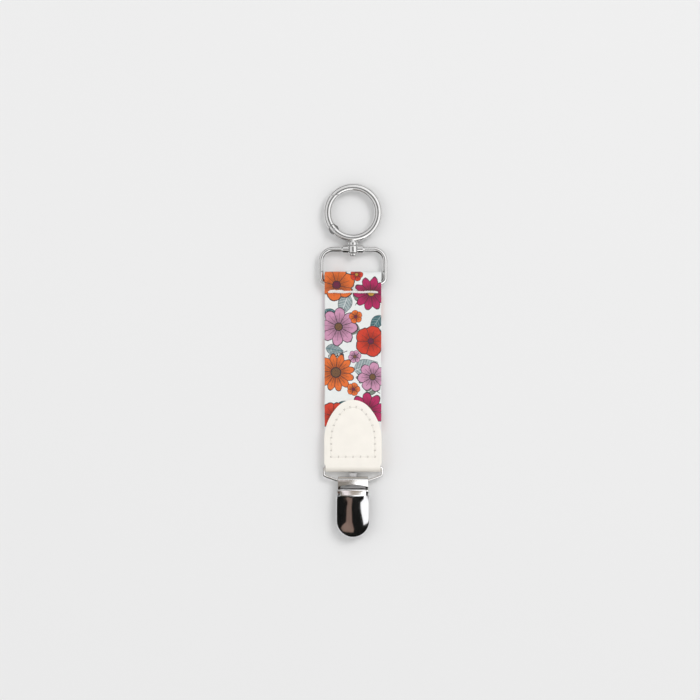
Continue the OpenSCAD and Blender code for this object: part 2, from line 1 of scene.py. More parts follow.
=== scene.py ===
# Key strap looks: printed strap, leather tab, threads, plated metal and a pale stage
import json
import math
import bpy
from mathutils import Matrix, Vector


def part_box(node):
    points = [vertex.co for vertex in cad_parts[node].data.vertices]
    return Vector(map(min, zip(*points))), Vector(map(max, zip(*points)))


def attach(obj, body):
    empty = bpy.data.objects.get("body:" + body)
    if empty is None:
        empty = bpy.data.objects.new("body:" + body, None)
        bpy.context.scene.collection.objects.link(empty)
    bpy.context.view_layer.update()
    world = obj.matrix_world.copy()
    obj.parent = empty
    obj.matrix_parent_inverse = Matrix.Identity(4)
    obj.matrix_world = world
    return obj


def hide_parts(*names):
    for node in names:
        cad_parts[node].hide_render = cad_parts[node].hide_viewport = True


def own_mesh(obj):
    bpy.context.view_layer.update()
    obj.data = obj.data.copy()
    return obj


bl_info = {
    "name": "Key Strap",
    "version": (1, 0, 0),
    "blender": (4, 5, 0),
    "location": "View3D > Sidebar > Key Strap",
    "description": "Dresses the packed key strap with cloth, leather, thread and plated metal",
    "category": "Object",
}

import bpy
import numpy as np

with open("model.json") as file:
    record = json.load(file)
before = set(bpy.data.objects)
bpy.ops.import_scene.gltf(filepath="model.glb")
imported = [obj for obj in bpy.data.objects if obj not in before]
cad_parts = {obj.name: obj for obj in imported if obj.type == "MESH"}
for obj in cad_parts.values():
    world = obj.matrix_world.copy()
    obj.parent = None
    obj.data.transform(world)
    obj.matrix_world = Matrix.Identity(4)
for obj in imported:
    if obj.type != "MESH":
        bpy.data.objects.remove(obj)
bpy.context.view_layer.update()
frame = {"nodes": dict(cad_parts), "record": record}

MM = 0.001


def box_mm(node):
    """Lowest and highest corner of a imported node, in millimetres."""
    return [[x / MM for x in corner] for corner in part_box(node)]


SLEEVE_LOW, SLEEVE_HIGH = box_mm("strap_sleeve")
CORE_LOW, CORE_HIGH = box_mm("strap_core")
TAB_LOW, TAB_HIGH = box_mm("leather_tab")
LEVER_LOW, LEVER_HIGH = box_mm("clip_lever")
PIN_LOW, PIN_HIGH = box_mm("lever_pin")
SEAM_LOW, SEAM_HIGH = box_mm("strap_needle_thread")


# Settings

def length(name, description, default_mm):
    return bpy.props.FloatProperty(name=name, description=description, default=default_mm * MM,
                                   min=0.0, unit="LENGTH", precision=5)


def share(name, description, default):
    return bpy.props.FloatProperty(name=name, description=description, default=default,
                                   min=0.0, max=1.0, subtype="FACTOR")


def colour(name, description, default):
    return bpy.props.FloatVectorProperty(name=name, description=description, default=(*default, 1.0),
                                         size=4, min=0.0, max=1.0, subtype="COLOR")


class StrapSettings(bpy.types.PropertyGroup):
    """Sizes and colours of the printed strap and its seam."""
    layer: length("Layer", "Thickness of one layer of the strap", 1.1)
    wall: length("Wall", "Thickness of the printed sleeve's cloth", SLEEVE_HIGH[0] - CORE_HIGH[0])
    round: length("Edge", "Reach of the rounded edge", 0.62)
    thread: length("Thread", "Thickness of the seam's thread", 1.1)
    stitch: length("Stitch", "Stitch length of the seam", 3.05)
    repeat: length("Repeat", "Length after which the print repeats", 80.0)
    print_scale: bpy.props.FloatProperty(name="Print scale", description="Enlargement of the print",
                                         default=1.25, min=0.1)
    ground: colour("Ground", "Ground of the print", (0.84, 0.86, 0.85))
    ink: colour("Ink", "Outlines of the print", (0.035, 0.032, 0.038))
    orange: colour("Orange", "Orange petals", (0.80, 0.17, 0.035))
    red: colour("Red", "Red petals", (0.66, 0.055, 0.028))
    magenta: colour("Magenta", "Magenta petals", (0.47, 0.022, 0.12))
    lilac: colour("Lilac", "Lilac petals", (0.64, 0.31, 0.47))
    teal: colour("Teal", "Teal leaves", (0.075, 0.19, 0.21))
    sage: colour("Sage", "Grey-green sprigs", (0.20, 0.23, 0.19))
    thread_colour: colour("Thread colour", "White seam thread", (0.86, 0.85, 0.83))
    core_colour: colour("Core colour", "Webbing inside the sleeve", (0.78, 0.77, 0.74))


class TabSettings(bpy.types.PropertyGroup):
    """Sizes and colours of the leather tab and its seam."""
    leather: length("Leather", "Thickness of the leather", 1.2)
    nose: length("Nose", "Radius of the tab's nose", 9.3)
    flank: length("Flank", "Radius of the tab's sides towards the nose", 21.0)
    taper: length("Taper", "Narrowing of the tab at its fold", 1.2)
    pinch: length("Pinch", "Distance of the narrowing from the tab's lower end", 2.75)
    inset: length("Inset", "Distance of the seam from the edge", 3.0)
    cross: length("Cross seam", "Distance of the cross seam from the fold", 6.7)
    stitch: length("Stitch", "Stitch length of the seam", 2.8)
    cross_stitch: length("Cross stitch", "Stitch length of the cross seam", 3.2)
    thread: length("Thread", "Thickness of the seam's thread", 0.46)
    leather_colour: colour("Leather colour", "Face of the leather", (0.925, 0.885, 0.815))
    edge_colour: colour("Edge colour", "Cut edge of the leather", (0.80, 0.74, 0.65))
    # painted shade inside the needle holes
    pit_shade_colour: colour("Pit colour", "Needle holes", (0.26, 0.24, 0.22))
    thread_colour: colour("Thread colour", "Cream seam thread", (0.91, 0.875, 0.81))


class MetalSettings(bpy.types.PropertyGroup):
    """Sizes and finishes of the metal pieces."""
    sheet: length("Sheet", "Sheet thickness of the lever", 0.8)
    crown_across: length("Crown across", "Crown radius across the lever's shield", 19.0)
    crown_along: length("Crown along", "Crown radius along the lever's shield", 50.0)
    crown_shift: length("Crown shift", "Distance of the crown from the middle of the lever", 0.9)
    rim: length("Rim", "Rounding of the shield's sides", 0.6)
    tip_rim: length("Tip rim", "Rounding of the shield's tip", 1.0)
    rim_height: length("Rim height", "Height of the shield's rim above the back", 2.3)
    shield_drop: length("Shield drop", "Distance of the shield's upper edge from the pin", 1.7)
    neck: length("Neck", "Width of the lever's neck between the ears", 11.2)
    roll: length("Roll", "Radius of the lever's neck roll", 1.5)
    soft_edge: length("Soft edge", "Rounding of the sheet's cut edges", 0.1)
    plating: colour("Plating", "Bright nickel plating", (0.83, 0.825, 0.82))
    steel: colour("Steel", "Plain steel", (0.72, 0.72, 0.73))
    pad: colour("Pad", "Pale plastic pads", (0.62, 0.62, 0.60))
    gloss: share("Roughness", "Roughness of the plating", 0.09)


class StageSettings(bpy.types.PropertyGroup):
    """Camera, floor and light."""
    floor: colour("Floor", "Pale floor", (0.83, 0.83, 0.83))
    frame_width: length("Frame", "Width that the camera takes in", 308.0)
    distance: length("Distance", "Height of the camera above the part", 1200.0)
    daylight: bpy.props.FloatProperty(name="Daylight", description="Even light from all round",
                                      default=0.74, min=0.0)
    window: bpy.props.FloatProperty(name="Window", description="Power of the soft light from the upper right",
                                    default=20.0, min=0.0, unit="POWER")


# Modelling helpers

def free_hands():
    if bpy.context.mode != "OBJECT":
        bpy.ops.object.mode_set(mode="OBJECT")
    bpy.ops.object.select_all(action="DESELECT")


def take(*pieces):
    """Selects these pieces alone, the first one active."""
    free_hands()
    for piece in pieces:
        piece.select_set(True)
    bpy.context.view_layer.objects.active = pieces[0]


def mesh_piece(name, points_mm, faces):
    """A new object at the origin from points in millimetres."""
    mesh = bpy.data.meshes.new(name)
    mesh.from_pydata([[x * MM for x in p] for p in points_mm], [], faces)
    mesh.validate()
    piece = bpy.data.objects.new(name, mesh)
    bpy.context.scene.collection.objects.link(piece)
    return piece


def modify(piece, kind, **settings):
    """Adds one modifier and applies it."""
    take(piece)
    modifier = piece.modifiers.new(kind.title(), kind)
    for key, value in settings.items():
        setattr(modifier, key, value)
    bpy.ops.object.modifier_apply(modifier=modifier.name)


def in_edit_mode(piece, *steps):
    """Runs edit-mode steps on the whole of one mesh."""
    take(piece)
    bpy.ops.object.mode_set(mode="EDIT")
    bpy.ops.mesh.select_all(action="SELECT")
    for step in steps:
        step()
    bpy.ops.object.mode_set(mode="OBJECT")


def merge_doubles():
    bpy.ops.mesh.remove_doubles(threshold=1e-7)


def turn_outwards():
    bpy.ops.mesh.normals_make_consistent(inside=False)


def smooth(piece, degrees):
    take(piece)
    bpy.ops.object.shade_smooth_by_angle(angle=math.radians(degrees))


def points_of(piece):
    """The piece's points in millimetres, one row each."""
    co = np.empty(len(piece.data.vertices) * 3)
    piece.data.vertices.foreach_get("co", co)
    return co.reshape(-1, 3) / MM


def put_points(piece, points_mm):
    piece.data.vertices.foreach_set("co", (points_mm * MM).ravel())
    piece.data.update()


def keep_values(piece, name, values):
    """Stores one number, or one vector, for each point, for the piece's material."""
    kind = "FLOAT" if values.ndim == 1 else "FLOAT_VECTOR"
    attribute = piece.data.attributes.new(name, kind, "POINT")
    attribute.data.foreach_set("value" if values.ndim == 1 else "vector",
                               values.astype(np.float32).ravel())


def dress(piece, finish):
    piece.data.materials.clear()
    piece.data.materials.append(finish)


def hand_over(piece, finish, body, node):
    """Dresses a piece and lets it ride on its body in the place of a node."""
    dress(piece, finish)
    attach(piece, body)
    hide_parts(node)


def smooth_step(x, low, high):
    t = np.clip((x - low) / (high - low), 0.0, 1.0)
    return t * t * (3.0 - 2.0 * t)


def arc(centre, radius, start, end, count):
    """Points on an arc, angles in degrees."""
    angles = np.radians(np.linspace(start, end, count))
    return np.column_stack([centre[0] + radius * np.cos(angles), centre[1] + radius * np.sin(angles)])


def even_steps(line, step):
    """The same line with points at even steps."""
    run = np.concatenate([[0.0], np.cumsum(np.linalg.norm(np.diff(line, axis=0), axis=1))])
    at = np.linspace(0.0, run[-1], max(2, int(round(run[-1] / step))) + 1)
    return np.column_stack([np.interp(at, run, line[:, k]) for k in range(line.shape[1])]), at


def soften(line, rounds):
    """Eases the corners of a line and keeps its ends."""
    line = line.copy()
    for _ in range(rounds):
        line[1:-1] = 0.25 * line[:-2] + 0.5 * line[1:-1] + 0.25 * line[2:]
    return line


def headings(line):
    """Unit directions along a line."""
    run = np.gradient(line, axis=0)
    return run / np.linalg.norm(run, axis=1)[:, None]


def distance_to(points, line):
    """Distance of each flat point from a line of segments."""
    best = np.full(len(points), 1e9)
    for a, b in zip(line[:-1], line[1:]):
        d = b - a
        t = np.clip(((points - a) @ d) / max(d @ d, 1e-12), 0.0, 1.0)
        best = np.minimum(best, np.linalg.norm(points - a - t[:, None] * d, axis=1))
    return best


# Material helpers

class Wiring:
    """Adds nodes to one tree and links them, so that a finish reads as a list of steps."""

    def __init__(self, tree):
        self.nodes, self.links = tree.nodes, tree.links

    def put(self, socket, value):
        if isinstance(value, bpy.types.NodeSocket):
            self.links.new(value, socket)
        else:
            socket.default_value = value

    def node(self, kind, settings=(), **inputs):
        node = self.nodes.new("ShaderNode" + kind)
        for key, value in dict(settings).items():
            setattr(node, key, value)
        return self.fill(node, inputs)

    def fill(self, node, inputs):
        for key, value in inputs.items():
            self.put(node.inputs[key.replace("_", " ")], value)
        return node

    def surface(self, **inputs):
        """Sets inputs of the material's own shader."""
        self.fill(self.nodes["Principled BSDF"], inputs)

    def math(self, operation, *values, kind="Math"):
        node = self.node(kind, {"operation": operation})
        for socket, value in zip(node.inputs, values):
            self.put(socket, value)
        return node.outputs[0]

    def plus(self, first, second):
        return self.math("ADD", first, second)

    def minus(self, first, second):
        return self.math("SUBTRACT", first, second)

    def ratio(self, first, second):
        return self.math("DIVIDE", first, second)

    def product(self, first, *others):
        for other in others:
            first = self.math("MULTIPLY", first, other)
        return first

    def largest(self, first, *others):
        for other in others:
            first = self.math("MAXIMUM", first, other)
        return first

    def below(self, value, limit):
        return self.math("LESS_THAN", value, limit)

    def ramp(self, value, low, high, to_low=0.0, to_high=1.0):
        node = self.node("MapRange", {"interpolation_type": "SMOOTHSTEP"}, Value=value)
        for socket, number in zip(node.inputs[1:5], (low, high, to_low, to_high)):
            self.put(socket, number)
        return node.outputs[0]

    def blend(self, factor, under, over):
        node = self.nodes.new("ShaderNodeMix")
        node.data_type = "RGBA"
        for index, value in ((0, factor), (6, under), (7, over)):
            self.put(node.inputs[index], value)
        return node.outputs[2]

    def noise(self, vector, scale, detail=2.0):
        return self.node("TexNoise", Vector=vector, Scale=scale, Detail=detail).outputs[0]

    def bump(self, height, strength, distance_mm, under=None):
        node = self.node("Bump", Height=height, Strength=strength, Distance=distance_mm * MM)
        if under is not None:
            self.put(node.inputs["Normal"], under)
        return node.outputs[0]


def new_finish(name):
    """A material and the wiring of its nodes."""
    finish = bpy.data.materials.new(name)
    finish.use_nodes = True
    return finish, Wiring(finish.node_tree)


def place_mm(w):
    """Object coordinates in millimetres."""
    here = w.node("TexCoord").outputs["Object"]
    return w.node("VectorMath", {"operation": "SCALE"}, Vector=here, Scale=1.0 / MM).outputs[0]


def kept(w, name, output="Fac"):
    """Values that were stored for the piece's points."""
    return w.node("Attribute", {"attribute_name": name}).outputs[output]


# Print motifs

def motif(name, sizes, colours):
    """An empty group for one motif that is laid over the print so far.

    The cloth's place takes up nothing of the print so far, but has to wait for it, so the
    motifs are worked out one after the other and the renderer's shader memory suffices.
    """
    tree = bpy.data.node_groups.new(name, "ShaderNodeTree")
    face = tree.interface
    for label, kind in [("Under", "Color"), ("Cloth", "Vector"), ("Place", "Vector"), ("Turn", "Float"),
                        ("Repeat", "Float"), ("Ink", "Color")] + [(s, "Float") for s in sizes] + \
                       [(c, "Color") for c in colours]:
        face.new_socket(label, in_out="INPUT", socket_type="NodeSocket" + kind)
    face.new_socket("Over", in_out="OUTPUT", socket_type="NodeSocketColor")
    w = Wiring(tree)
    given = tree.nodes.new("NodeGroupInput").outputs
    result = tree.nodes.new("NodeGroupOutput").inputs[0]
    cloth = w.math("MULTIPLY_ADD", given["Under"], (0.0, 0.0, 0.0), given["Cloth"], kind="VectorMath")
    away = w.math("SUBTRACT", cloth, given["Place"], kind="VectorMath")
    parts = w.node("SeparateXYZ", Vector=away).outputs
    half = w.product(given["Repeat"], 0.5)
    wrapped = w.math("WRAP", parts[1], half, w.product(half, -1.0))
    joined = w.node("CombineXYZ", X=parts[0], Y=wrapped).outputs[0]
    turned = w.node("VectorRotate", {"rotation_type": "Z_AXIS"}, Vector=joined, Angle=given["Turn"])
    local = w.node("SeparateXYZ", Vector=turned.outputs[0]).outputs
    return tree, w, given, result, cloth, local[0], local[1]


def blossom_motif():
    """Petals round a heart, with ink outlines and a vein along each petal."""
    tree, w, given, result, cloth, x, y = motif("Blossom", ["Petals", "Reach", "Breadth", "Heart Size"],
                                                ["Petal", "Deep", "Heart"])
    r = w.math("SQRT", w.plus(w.product(x, x), w.product(y, y)))
    sector = w.ratio(2.0 * math.pi, given["Petals"])
    half = w.product(sector, 0.5)
    phi = w.math("WRAP", w.math("ARCTAN2", y, x), half, w.product(half, -1.0))
    along = w.product(r, w.math("COSINE", phi))
    across = w.product(r, w.math("SINE", phi))
    mid = w.product(given["Reach"], 0.56)
    reach = w.product(given["Reach"], 0.44)
    wobble = w.product(w.minus(w.noise(cloth, 0.5), 0.5), 0.3)
    a = w.math("POWER", w.ratio(w.minus(along, mid), reach), 2.0)
    b = w.math("POWER", w.ratio(across, given["Breadth"]), 2.0)
    e = w.plus(w.math("SQRT", w.plus(a, b)), wobble)
    fill = w.below(e, 1.0)
    rim = w.ramp(e, 0.84, 0.93)
    side = w.product(w.minus(half, w.math("ABSOLUTE", phi)), r)
    parting = w.below(side, 0.12)
    width = w.math("ABSOLUTE", across)
    streak = w.product(w.below(width, 0.10), w.below(along, w.product(given["Reach"], 0.72)), 0.6)
    flank = w.math("ABSOLUTE", w.minus(width, w.product(given["Breadth"], 0.42)))
    streaks = w.product(w.below(flank, 0.07), w.below(along, mid), 0.45)
    tone = w.plus(w.ramp(w.ratio(r, given["Reach"]), 0.2, 0.8),
                  w.product(w.minus(w.noise(cloth, 0.9), 0.5), 1.1))
    petal = w.blend(w.math("MINIMUM", w.math("MAXIMUM", tone, 0.0), 1.0), given["Deep"], given["Petal"])
    over = w.blend(fill, given["Under"], petal)
    over = w.blend(w.product(fill, w.largest(rim, parting, streak, streaks)), over, given["Ink"])
    near = w.ratio(r, given["Heart Size"])
    heart = w.below(near, 1.0)
    speckle = w.ramp(w.noise(cloth, 3.2, 1.0), 0.52, 0.6)
    over = w.blend(heart, over, given["Heart"])
    over = w.blend(w.product(heart, w.largest(w.ramp(near, 0.72, 0.9), w.product(speckle, 0.7))),
                   over, given["Ink"])
    w.put(result, over)
    return tree


def leaf_motif():
    """A pointed leaf with a mid vein and slanting side veins."""
    tree, w, given, result, cloth, x, y = motif("Leaf", ["Length", "Breadth"], ["Blade", "Deep", "Vein"])
    t = w.math("MINIMUM", w.math("MAXIMUM", w.ratio(x, given["Length"]), 0.0), 1.0)
    swell = w.math("SINE", w.product(w.math("POWER", t, 0.72), math.pi))
    half = w.product(given["Breadth"], swell)
    b = w.math("ABSOLUTE", y)
    room = w.minus(half, b)
    fill = w.math("GREATER_THAN", room, 0.0)
    rim = w.below(room, 0.17)
    slant = w.plus(x, w.product(b, -0.75))
    rib = w.below(w.math("WRAP", slant, 1.35, 0.0), 0.22)
    mid = w.below(b, 0.13)
    tone = w.ramp(w.noise(cloth, 0.7), 0.3, 0.7)
    blade = w.blend(tone, given["Deep"], given["Blade"])
    over = w.blend(fill, given["Under"], blade)
    over = w.blend(w.product(fill, w.largest(w.product(rib, 0.75), mid)), over, given["Vein"])
    over = w.blend(w.product(fill, rim), over, given["Ink"])
    w.put(result, over)
    return tree


def sprig_motif():
    """A bowed stem with pairs of small leaves."""
    tree, w, given, result, _, x, y = motif("Sprig", ["Length", "Leaflet", "Bow"], ["Blade"])
    share_along = w.ratio(x, given["Length"])
    bowed = w.minus(y, w.product(x, share_along, given["Bow"]))
    on_stem = w.product(w.math("GREATER_THAN", x, 0.0), w.below(share_along, 1.0))
    b = w.math("ABSOLUTE", bowed)
    lean = math.radians(58)
    root = w.minus(x, w.product(b, 1.0 / math.tan(lean)))
    pitch = 2.3
    off_axis = w.math("WRAP", root, pitch / 2, -pitch / 2)
    axis_root = w.minus(root, off_axis)
    rooted = w.product(w.math("GREATER_THAN", axis_root, 0.5), w.below(axis_root, given["Length"]))
    left = w.minus(1.0, w.product(w.ratio(axis_root, given["Length"]), 0.55))
    size = w.math("MAXIMUM", w.product(given["Leaflet"], left), 0.05)
    u = w.plus(w.product(off_axis, math.cos(lean)), w.ratio(b, math.sin(lean)))
    v = w.product(off_axis, math.sin(lean))
    half = w.product(size, 0.5)
    p = w.math("POWER", w.ratio(w.minus(u, half), half), 2.0)
    q = w.math("POWER", w.ratio(v, w.product(size, 0.27)), 2.0)
    e = w.plus(p, q)
    fill = w.product(w.below(e, 1.0), rooted)
    stem = w.product(w.below(b, 0.14), on_stem)
    over = w.blend(fill, given["Under"], given["Blade"])
    over = w.blend(w.largest(w.product(fill, w.ramp(e, 0.5, 0.8)), stem), over, given["Ink"])
    w.put(result, over)
    return tree


PRINT_SIZES = ("Length", "Leaflet", "Reach", "Breadth", "Heart Size")


def deeper(tone, factor=0.5):
    return (tone[0] * factor, tone[1] * factor, tone[2] * factor, 1.0)


def paler(tone, factor):
    return tuple(c + (1.0 - c) * factor for c in tone[:3]) + (1.0,)


def printed_cloth(cloth):
    """A generic flower print on pale cloth, with its weave, painted shade in the weave's hollows and a soft
    sheen.
    """
    finish, w = new_finish("printed_cotton")
    on_cloth = kept(w, "cloth", "Vector")
    groups = {"blossom": blossom_motif(), "leaf": leaf_motif(), "sprig": sprig_motif()}
    heart = (0.20, 0.10, 0.045, 1.0)
    plum = (0.19, 0.02, 0.06, 1.0)
    straw = (0.62, 0.33, 0.05, 1.0)
    orange, red, magenta = tuple(cloth.orange), tuple(cloth.red), tuple(cloth.magenta)
    lilac, teal, sage = tuple(cloth.lilac), tuple(cloth.teal), tuple(cloth.sage)
    tea = paler(teal, 0.30)
    dew = paler(sage, 0.35)

    def leaf(x, v, turn, size, breadth, blade, vein):
        return ("leaf", x, v, turn, {"Length": size, "Breadth": breadth, "Blade": blade,
                                     "Deep": deeper(blade, 0.62), "Vein": vein})

    def sprig(x, v, turn, size, leaflet, bow, blade):
        return ("sprig", x, v, turn, {"Length": size, "Leaflet": leaflet, "Bow": bow, "Blade": blade})

    def blossom(x, v, turn, petals, reach, breadth, petal, centre, heart_size):
        return ("blossom", x, v, turn, {"Petals": petals, "Reach": reach, "Breadth": breadth,
                                        "Petal": petal, "Deep": deeper(petal, 0.55),
                                        "Heart": centre, "Heart Size": heart_size})

    layout = [
        sprig(1.0, 13.0, 60, 12.0, 3.6, 0.25, sage), sprig(-2.5, 29.0, 200, 11.0, 3.4, -0.3, dew),
        sprig(12.0, 44.0, 150, 11.0, 3.2, 0.2, sage), sprig(-1.0, 60.5, 330, 10.5, 3.2, 0.25, dew),
        sprig(-11.5, 76.0, 40, 11.0, 3.2, -0.2, sage),
        leaf(-2.0, 9.0, 250, 8.5, 2.5, tea, paler(tea, 0.55)), leaf(3.0, 22.0, 160, 8.0, 2.3, sage, dew),
        leaf(12.5, 16.5, 235, 7.0, 2.0, teal, tea), leaf(-12.5, 14.5, 320, 7.5, 2.1, teal, tea),
        leaf(0.5, 36.0, 20, 9.0, 2.9, tea, paler(tea, 0.55)), leaf(-12.0, 28.0, 350, 6.5, 1.9, tea, teal),
        leaf(-1.5, 47.0, 225, 8.5, 2.6, teal, tea), leaf(2.5, 52.0, 60, 7.5, 2.2, sage, dew),
        leaf(12.0, 61.0, 190, 8.5, 2.6, tea, paler(tea, 0.55)), leaf(-12.5, 61.5, 30, 7.5, 2.2, teal, tea),
        leaf(0.0, 69.0, 120, 8.0, 2.4, tea, teal),
        blossom(-7.2, 5.0, 18, 6, 6.6, 2.9, orange, plum, 1.5),
        blossom(8.0, 8.5, 5, 10, 6.4, 1.55, magenta, straw, 1.45),
        blossom(-6.3, 20.5, 40, 8, 6.9, 2.05, lilac, heart, 1.5),
        blossom(7.8, 25.6, 0, 5, 5.6, 3.0, red, plum, 1.1),
        blossom(-7.5, 36.6, 10, 12, 6.8, 1.45, orange, heart, 1.9),
        blossom(8.6, 38.2, 30, 7, 5.4, 1.9, lilac, heart, 1.2),
        blossom(6.4, 50.0, 12, 9, 6.6, 1.75, magenta, straw, 1.6),
        blossom(-8.4, 52.0, 55, 5, 5.2, 2.8, red, straw, 1.2),
        blossom(6.6, 66.5, 22, 6, 6.4, 2.7, orange, plum, 1.5),
        blossom(-7.0, 67.0, 0, 11, 6.6, 1.5, lilac, heart, 1.7),
        blossom(1.6, 1.5, 0, 5, 2.3, 1.15, red, straw, 0.6),
        blossom(1.2, 17.0, 30, 5, 2.4, 1.2, orange, plum, 0.6),
        blossom(0.8, 31.0, 10, 6, 2.3, 1.0, lilac, heart, 0.6),
        blossom(0.2, 42.5, 0, 5, 2.4, 1.2, orange, plum, 0.6),
        blossom(-0.6, 58.0, 20, 5, 2.4, 1.2, magenta, straw, 0.6),
    ]
    print_so_far = tuple(cloth.ground)
    for kind, x, v, turn, values in layout:
        node = w.nodes.new("ShaderNodeGroup")
        node.node_tree = groups[kind]
        values = {label: value * cloth.print_scale if label in PRINT_SIZES else value
                  for label, value in values.items()}
        values = {"Under": print_so_far, "Cloth": on_cloth, "Place": (x, v * cloth.print_scale, 0.0),
                  "Turn": math.radians(turn), "Repeat": cloth.repeat / MM * cloth.print_scale,
                  "Ink": tuple(cloth.ink), **values}
        for label, value in values.items():
            w.put(node.inputs[label], value)
        print_so_far = node.outputs[0]
    parts = w.node("SeparateXYZ", Vector=on_cloth).outputs
    yarn = 0.34
    warp = w.product(parts[0], math.pi / yarn)
    weft = w.product(parts[1], math.pi / yarn)
    over_under = w.math("GREATER_THAN", w.product(w.math("SINE", warp), w.math("SINE", weft)), 0.0)
    up = w.math("ABSOLUTE", w.math("SINE", warp))
    cross = w.math("ABSOLUTE", w.math("SINE", weft))
    weave = w.plus(w.product(up, over_under),
                   w.product(cross, w.minus(1.0, over_under)))
    # painted shade: the weave's hollows darken the print, with a little random tone
    shade = w.plus(w.ramp(weave, 0.0, 0.9, 0.86, 1.0),
                   w.product(w.minus(w.noise(on_cloth, 0.35), 0.5), 0.06))
    print_in_weave_shade = w.node("VectorMath", {"operation": "SCALE"}, Vector=print_so_far, Scale=shade).outputs[0]
    creases = w.bump(w.noise(place_mm(w), 0.22, 3.0), 0.25, 0.5)
    w.surface(Base_Color=print_in_weave_shade, Roughness=w.ramp(weave, 0.0, 1.0, 0.82, 0.66), Sheen_Weight=0.15,
              Sheen_Roughness=0.5, Specular_IOR_Level=0.3, Normal=w.bump(weave, 0.35, 0.06, creases))
    return finish


def webbing_finish(cloth):
    """Plain woven webbing: ribs across the strap, with painted shade in the hollows between them."""
    finish, w = new_finish("webbing")
    parts = w.node("SeparateXYZ", Vector=place_mm(w)).outputs
    rib = w.math("ABSOLUTE", w.math("SINE", w.product(parts[1], math.pi / 0.8)))
    tone = tuple(cloth.core_colour)
    # painted shade in the hollows between the ribs
    w.surface(Base_Color=w.blend(rib, deeper(tone, 0.72), tone),
              Roughness=w.ramp(rib, 0.0, 1.0, 0.9, 0.75), Normal=w.bump(rib, 0.5, 0.1))
    return finish


def thread_finish(name, tone):
    """Twisted thread: painted shade in the groove between its plies, with fine fuzz."""
    finish, w = new_finish(name)
    ply = kept(w, "ply")
    fuzz = w.noise(place_mm(w), 9.0, 3.0)
    # painted shade between the plies, with random fuzz tone
    shade = w.plus(w.product(ply, 0.8), w.product(fuzz, 0.25))
    w.surface(Base_Color=w.blend(w.ramp(shade, 0.0, 0.85), deeper(tone, 0.72), tone), Sheen_Weight=0.2,
              Roughness=w.ramp(fuzz, 0.2, 0.8, 0.6, 0.8), Normal=w.bump(fuzz, 0.3, 0.05))
    return finish


def leather_finish(tab):
    """Smooth cream leather: fine grain, darker cut edges, painted shade in the needle holes and soft painted
    shade at the fold.
    """
    finish, w = new_finish("cream_leather")
    here = place_mm(w)
    face, edge = tuple(tab.leather_colour), tuple(tab.edge_colour)
    cells = w.node("TexVoronoi", {"feature": "DISTANCE_TO_EDGE"}, Vector=here, Scale=2.3).outputs["Distance"]
    pores = w.ramp(cells, 0.02, 0.22)
    cloud = w.noise(here, 0.16, 3.0)
    tone = w.blend(w.ramp(cloud, 0.3, 0.75), deeper(face, 0.965), face)
    tone = w.blend(w.product(kept(w, "rim"), 0.8), tone, edge)
    # painted shade: the leather darkens towards the edge colour where it turns round the fold
    tone = w.blend(w.product(kept(w, "fold_shade"), 0.35), tone, edge)
    # painted shade in the needle holes
    tone = w.blend(kept(w, "pit"), tone, tuple(tab.pit_shade_colour))
    wrinkle = w.bump(w.noise(here, 0.8, 4.0), 0.18, 0.12)
    w.surface(Base_Color=tone, Roughness=w.ramp(w.noise(here, 1.2), 0.3, 0.7, 0.40, 0.54),
              Specular_IOR_Level=0.42, Normal=w.bump(pores, 0.22, 0.05, wrinkle))
    return finish


def plated_finish(metal):
    """Bright nickel plating: slightly uneven polish and hair-fine scratches."""
    finish, w = new_finish("plated_metal")
    here = place_mm(w)
    cloud = w.noise(here, 0.45, 3.0)
    stretched = w.node("Mapping", Vector=here, Scale=(9.0, 0.5, 3.0), Rotation=(0.0, 0.0, 0.5)).outputs[0]
    hairs = w.ramp(w.noise(stretched, 1.4, 2.0), 0.60, 0.72)
    tone = tuple(metal.plating)
    polish = w.plus(w.ramp(cloud, 0.3, 0.7, metal.gloss * 0.75, metal.gloss * 1.35),
                    w.product(hairs, 0.05))
    w.surface(Base_Color=w.blend(w.ramp(cloud, 0.3, 0.7), deeper(tone, 0.95), tone), Metallic=1.0,
              Roughness=polish, Normal=w.bump(w.noise(here, 0.6, 2.0), 0.05, 0.12))
    return finish


def steel_finish(metal):
    """Plain drawn steel with fine brushing."""
    finish, w = new_finish("plain_steel")
    here = place_mm(w)
    stretched = w.node("Mapping", Vector=here, Scale=(1.0, 14.0, 6.0)).outputs[0]
    brushing = w.noise(stretched, 1.6, 3.0)
    tone = tuple(metal.steel)
    w.surface(Base_Color=w.blend(w.ramp(brushing, 0.3, 0.7), deeper(tone, 0.85), tone), Metallic=1.0,
              Roughness=w.ramp(brushing, 0.3, 0.7, 0.34, 0.48), Normal=w.bump(brushing, 0.08, 0.05))
    return finish


def pad_finish(metal):
    """Moulded matt plastic."""
    finish, w = new_finish("pad_plastic")
    grain = w.noise(place_mm(w), 5.0, 3.0)
    tone = tuple(metal.pad)
    w.surface(Base_Color=w.blend(w.ramp(grain, 0.3, 0.7), deeper(tone, 0.9), tone),
              Roughness=w.ramp(grain, 0.3, 0.7, 0.5, 0.65), Normal=w.bump(grain, 0.2, 0.05))
    return finish


# Strap

FLAT_Y = TAB_HIGH[1] + 14.0
RAMP_Y = TAB_HIGH[1] + 0.8
SEAM_Y = (SEAM_LOW[1] + SEAM_HIGH[1]) / 2
BAR_PLAY = 2.4
PLY_GAP = 0.1
FINE_STEP, EASE_ROUNDS = 0.2, 14
STRAP_STEP, CORE_STEP = 0.62, 0.9
# Reach of the groove at the seam, and its depth between and at the needle holes
GROOVE_REACH, GROOVE_END = 0.9, 1.2
FRONT_GROOVE, BACK_GROOVE = (0.10, 0.10), (0.24, 0.08)
# The strap's edges are drawn in a little and waver: depth, beat and phase
EDGE_ZONE, EDGE_DRAW = (9.0, 12.5), 0.05
EDGE_WAVES = ((0.025, 0.41, 0.0), (0.02, 1.13, 1.0))
CORE_SIDE_PLAY, CORE_FACE_PLAY, CORE_EDGE = 0.3, 0.04, 0.2
CORE_SINK_REACH, CORE_SINK_FRONT, CORE_SINK_BACK = 1.2, 0.08, 0.06


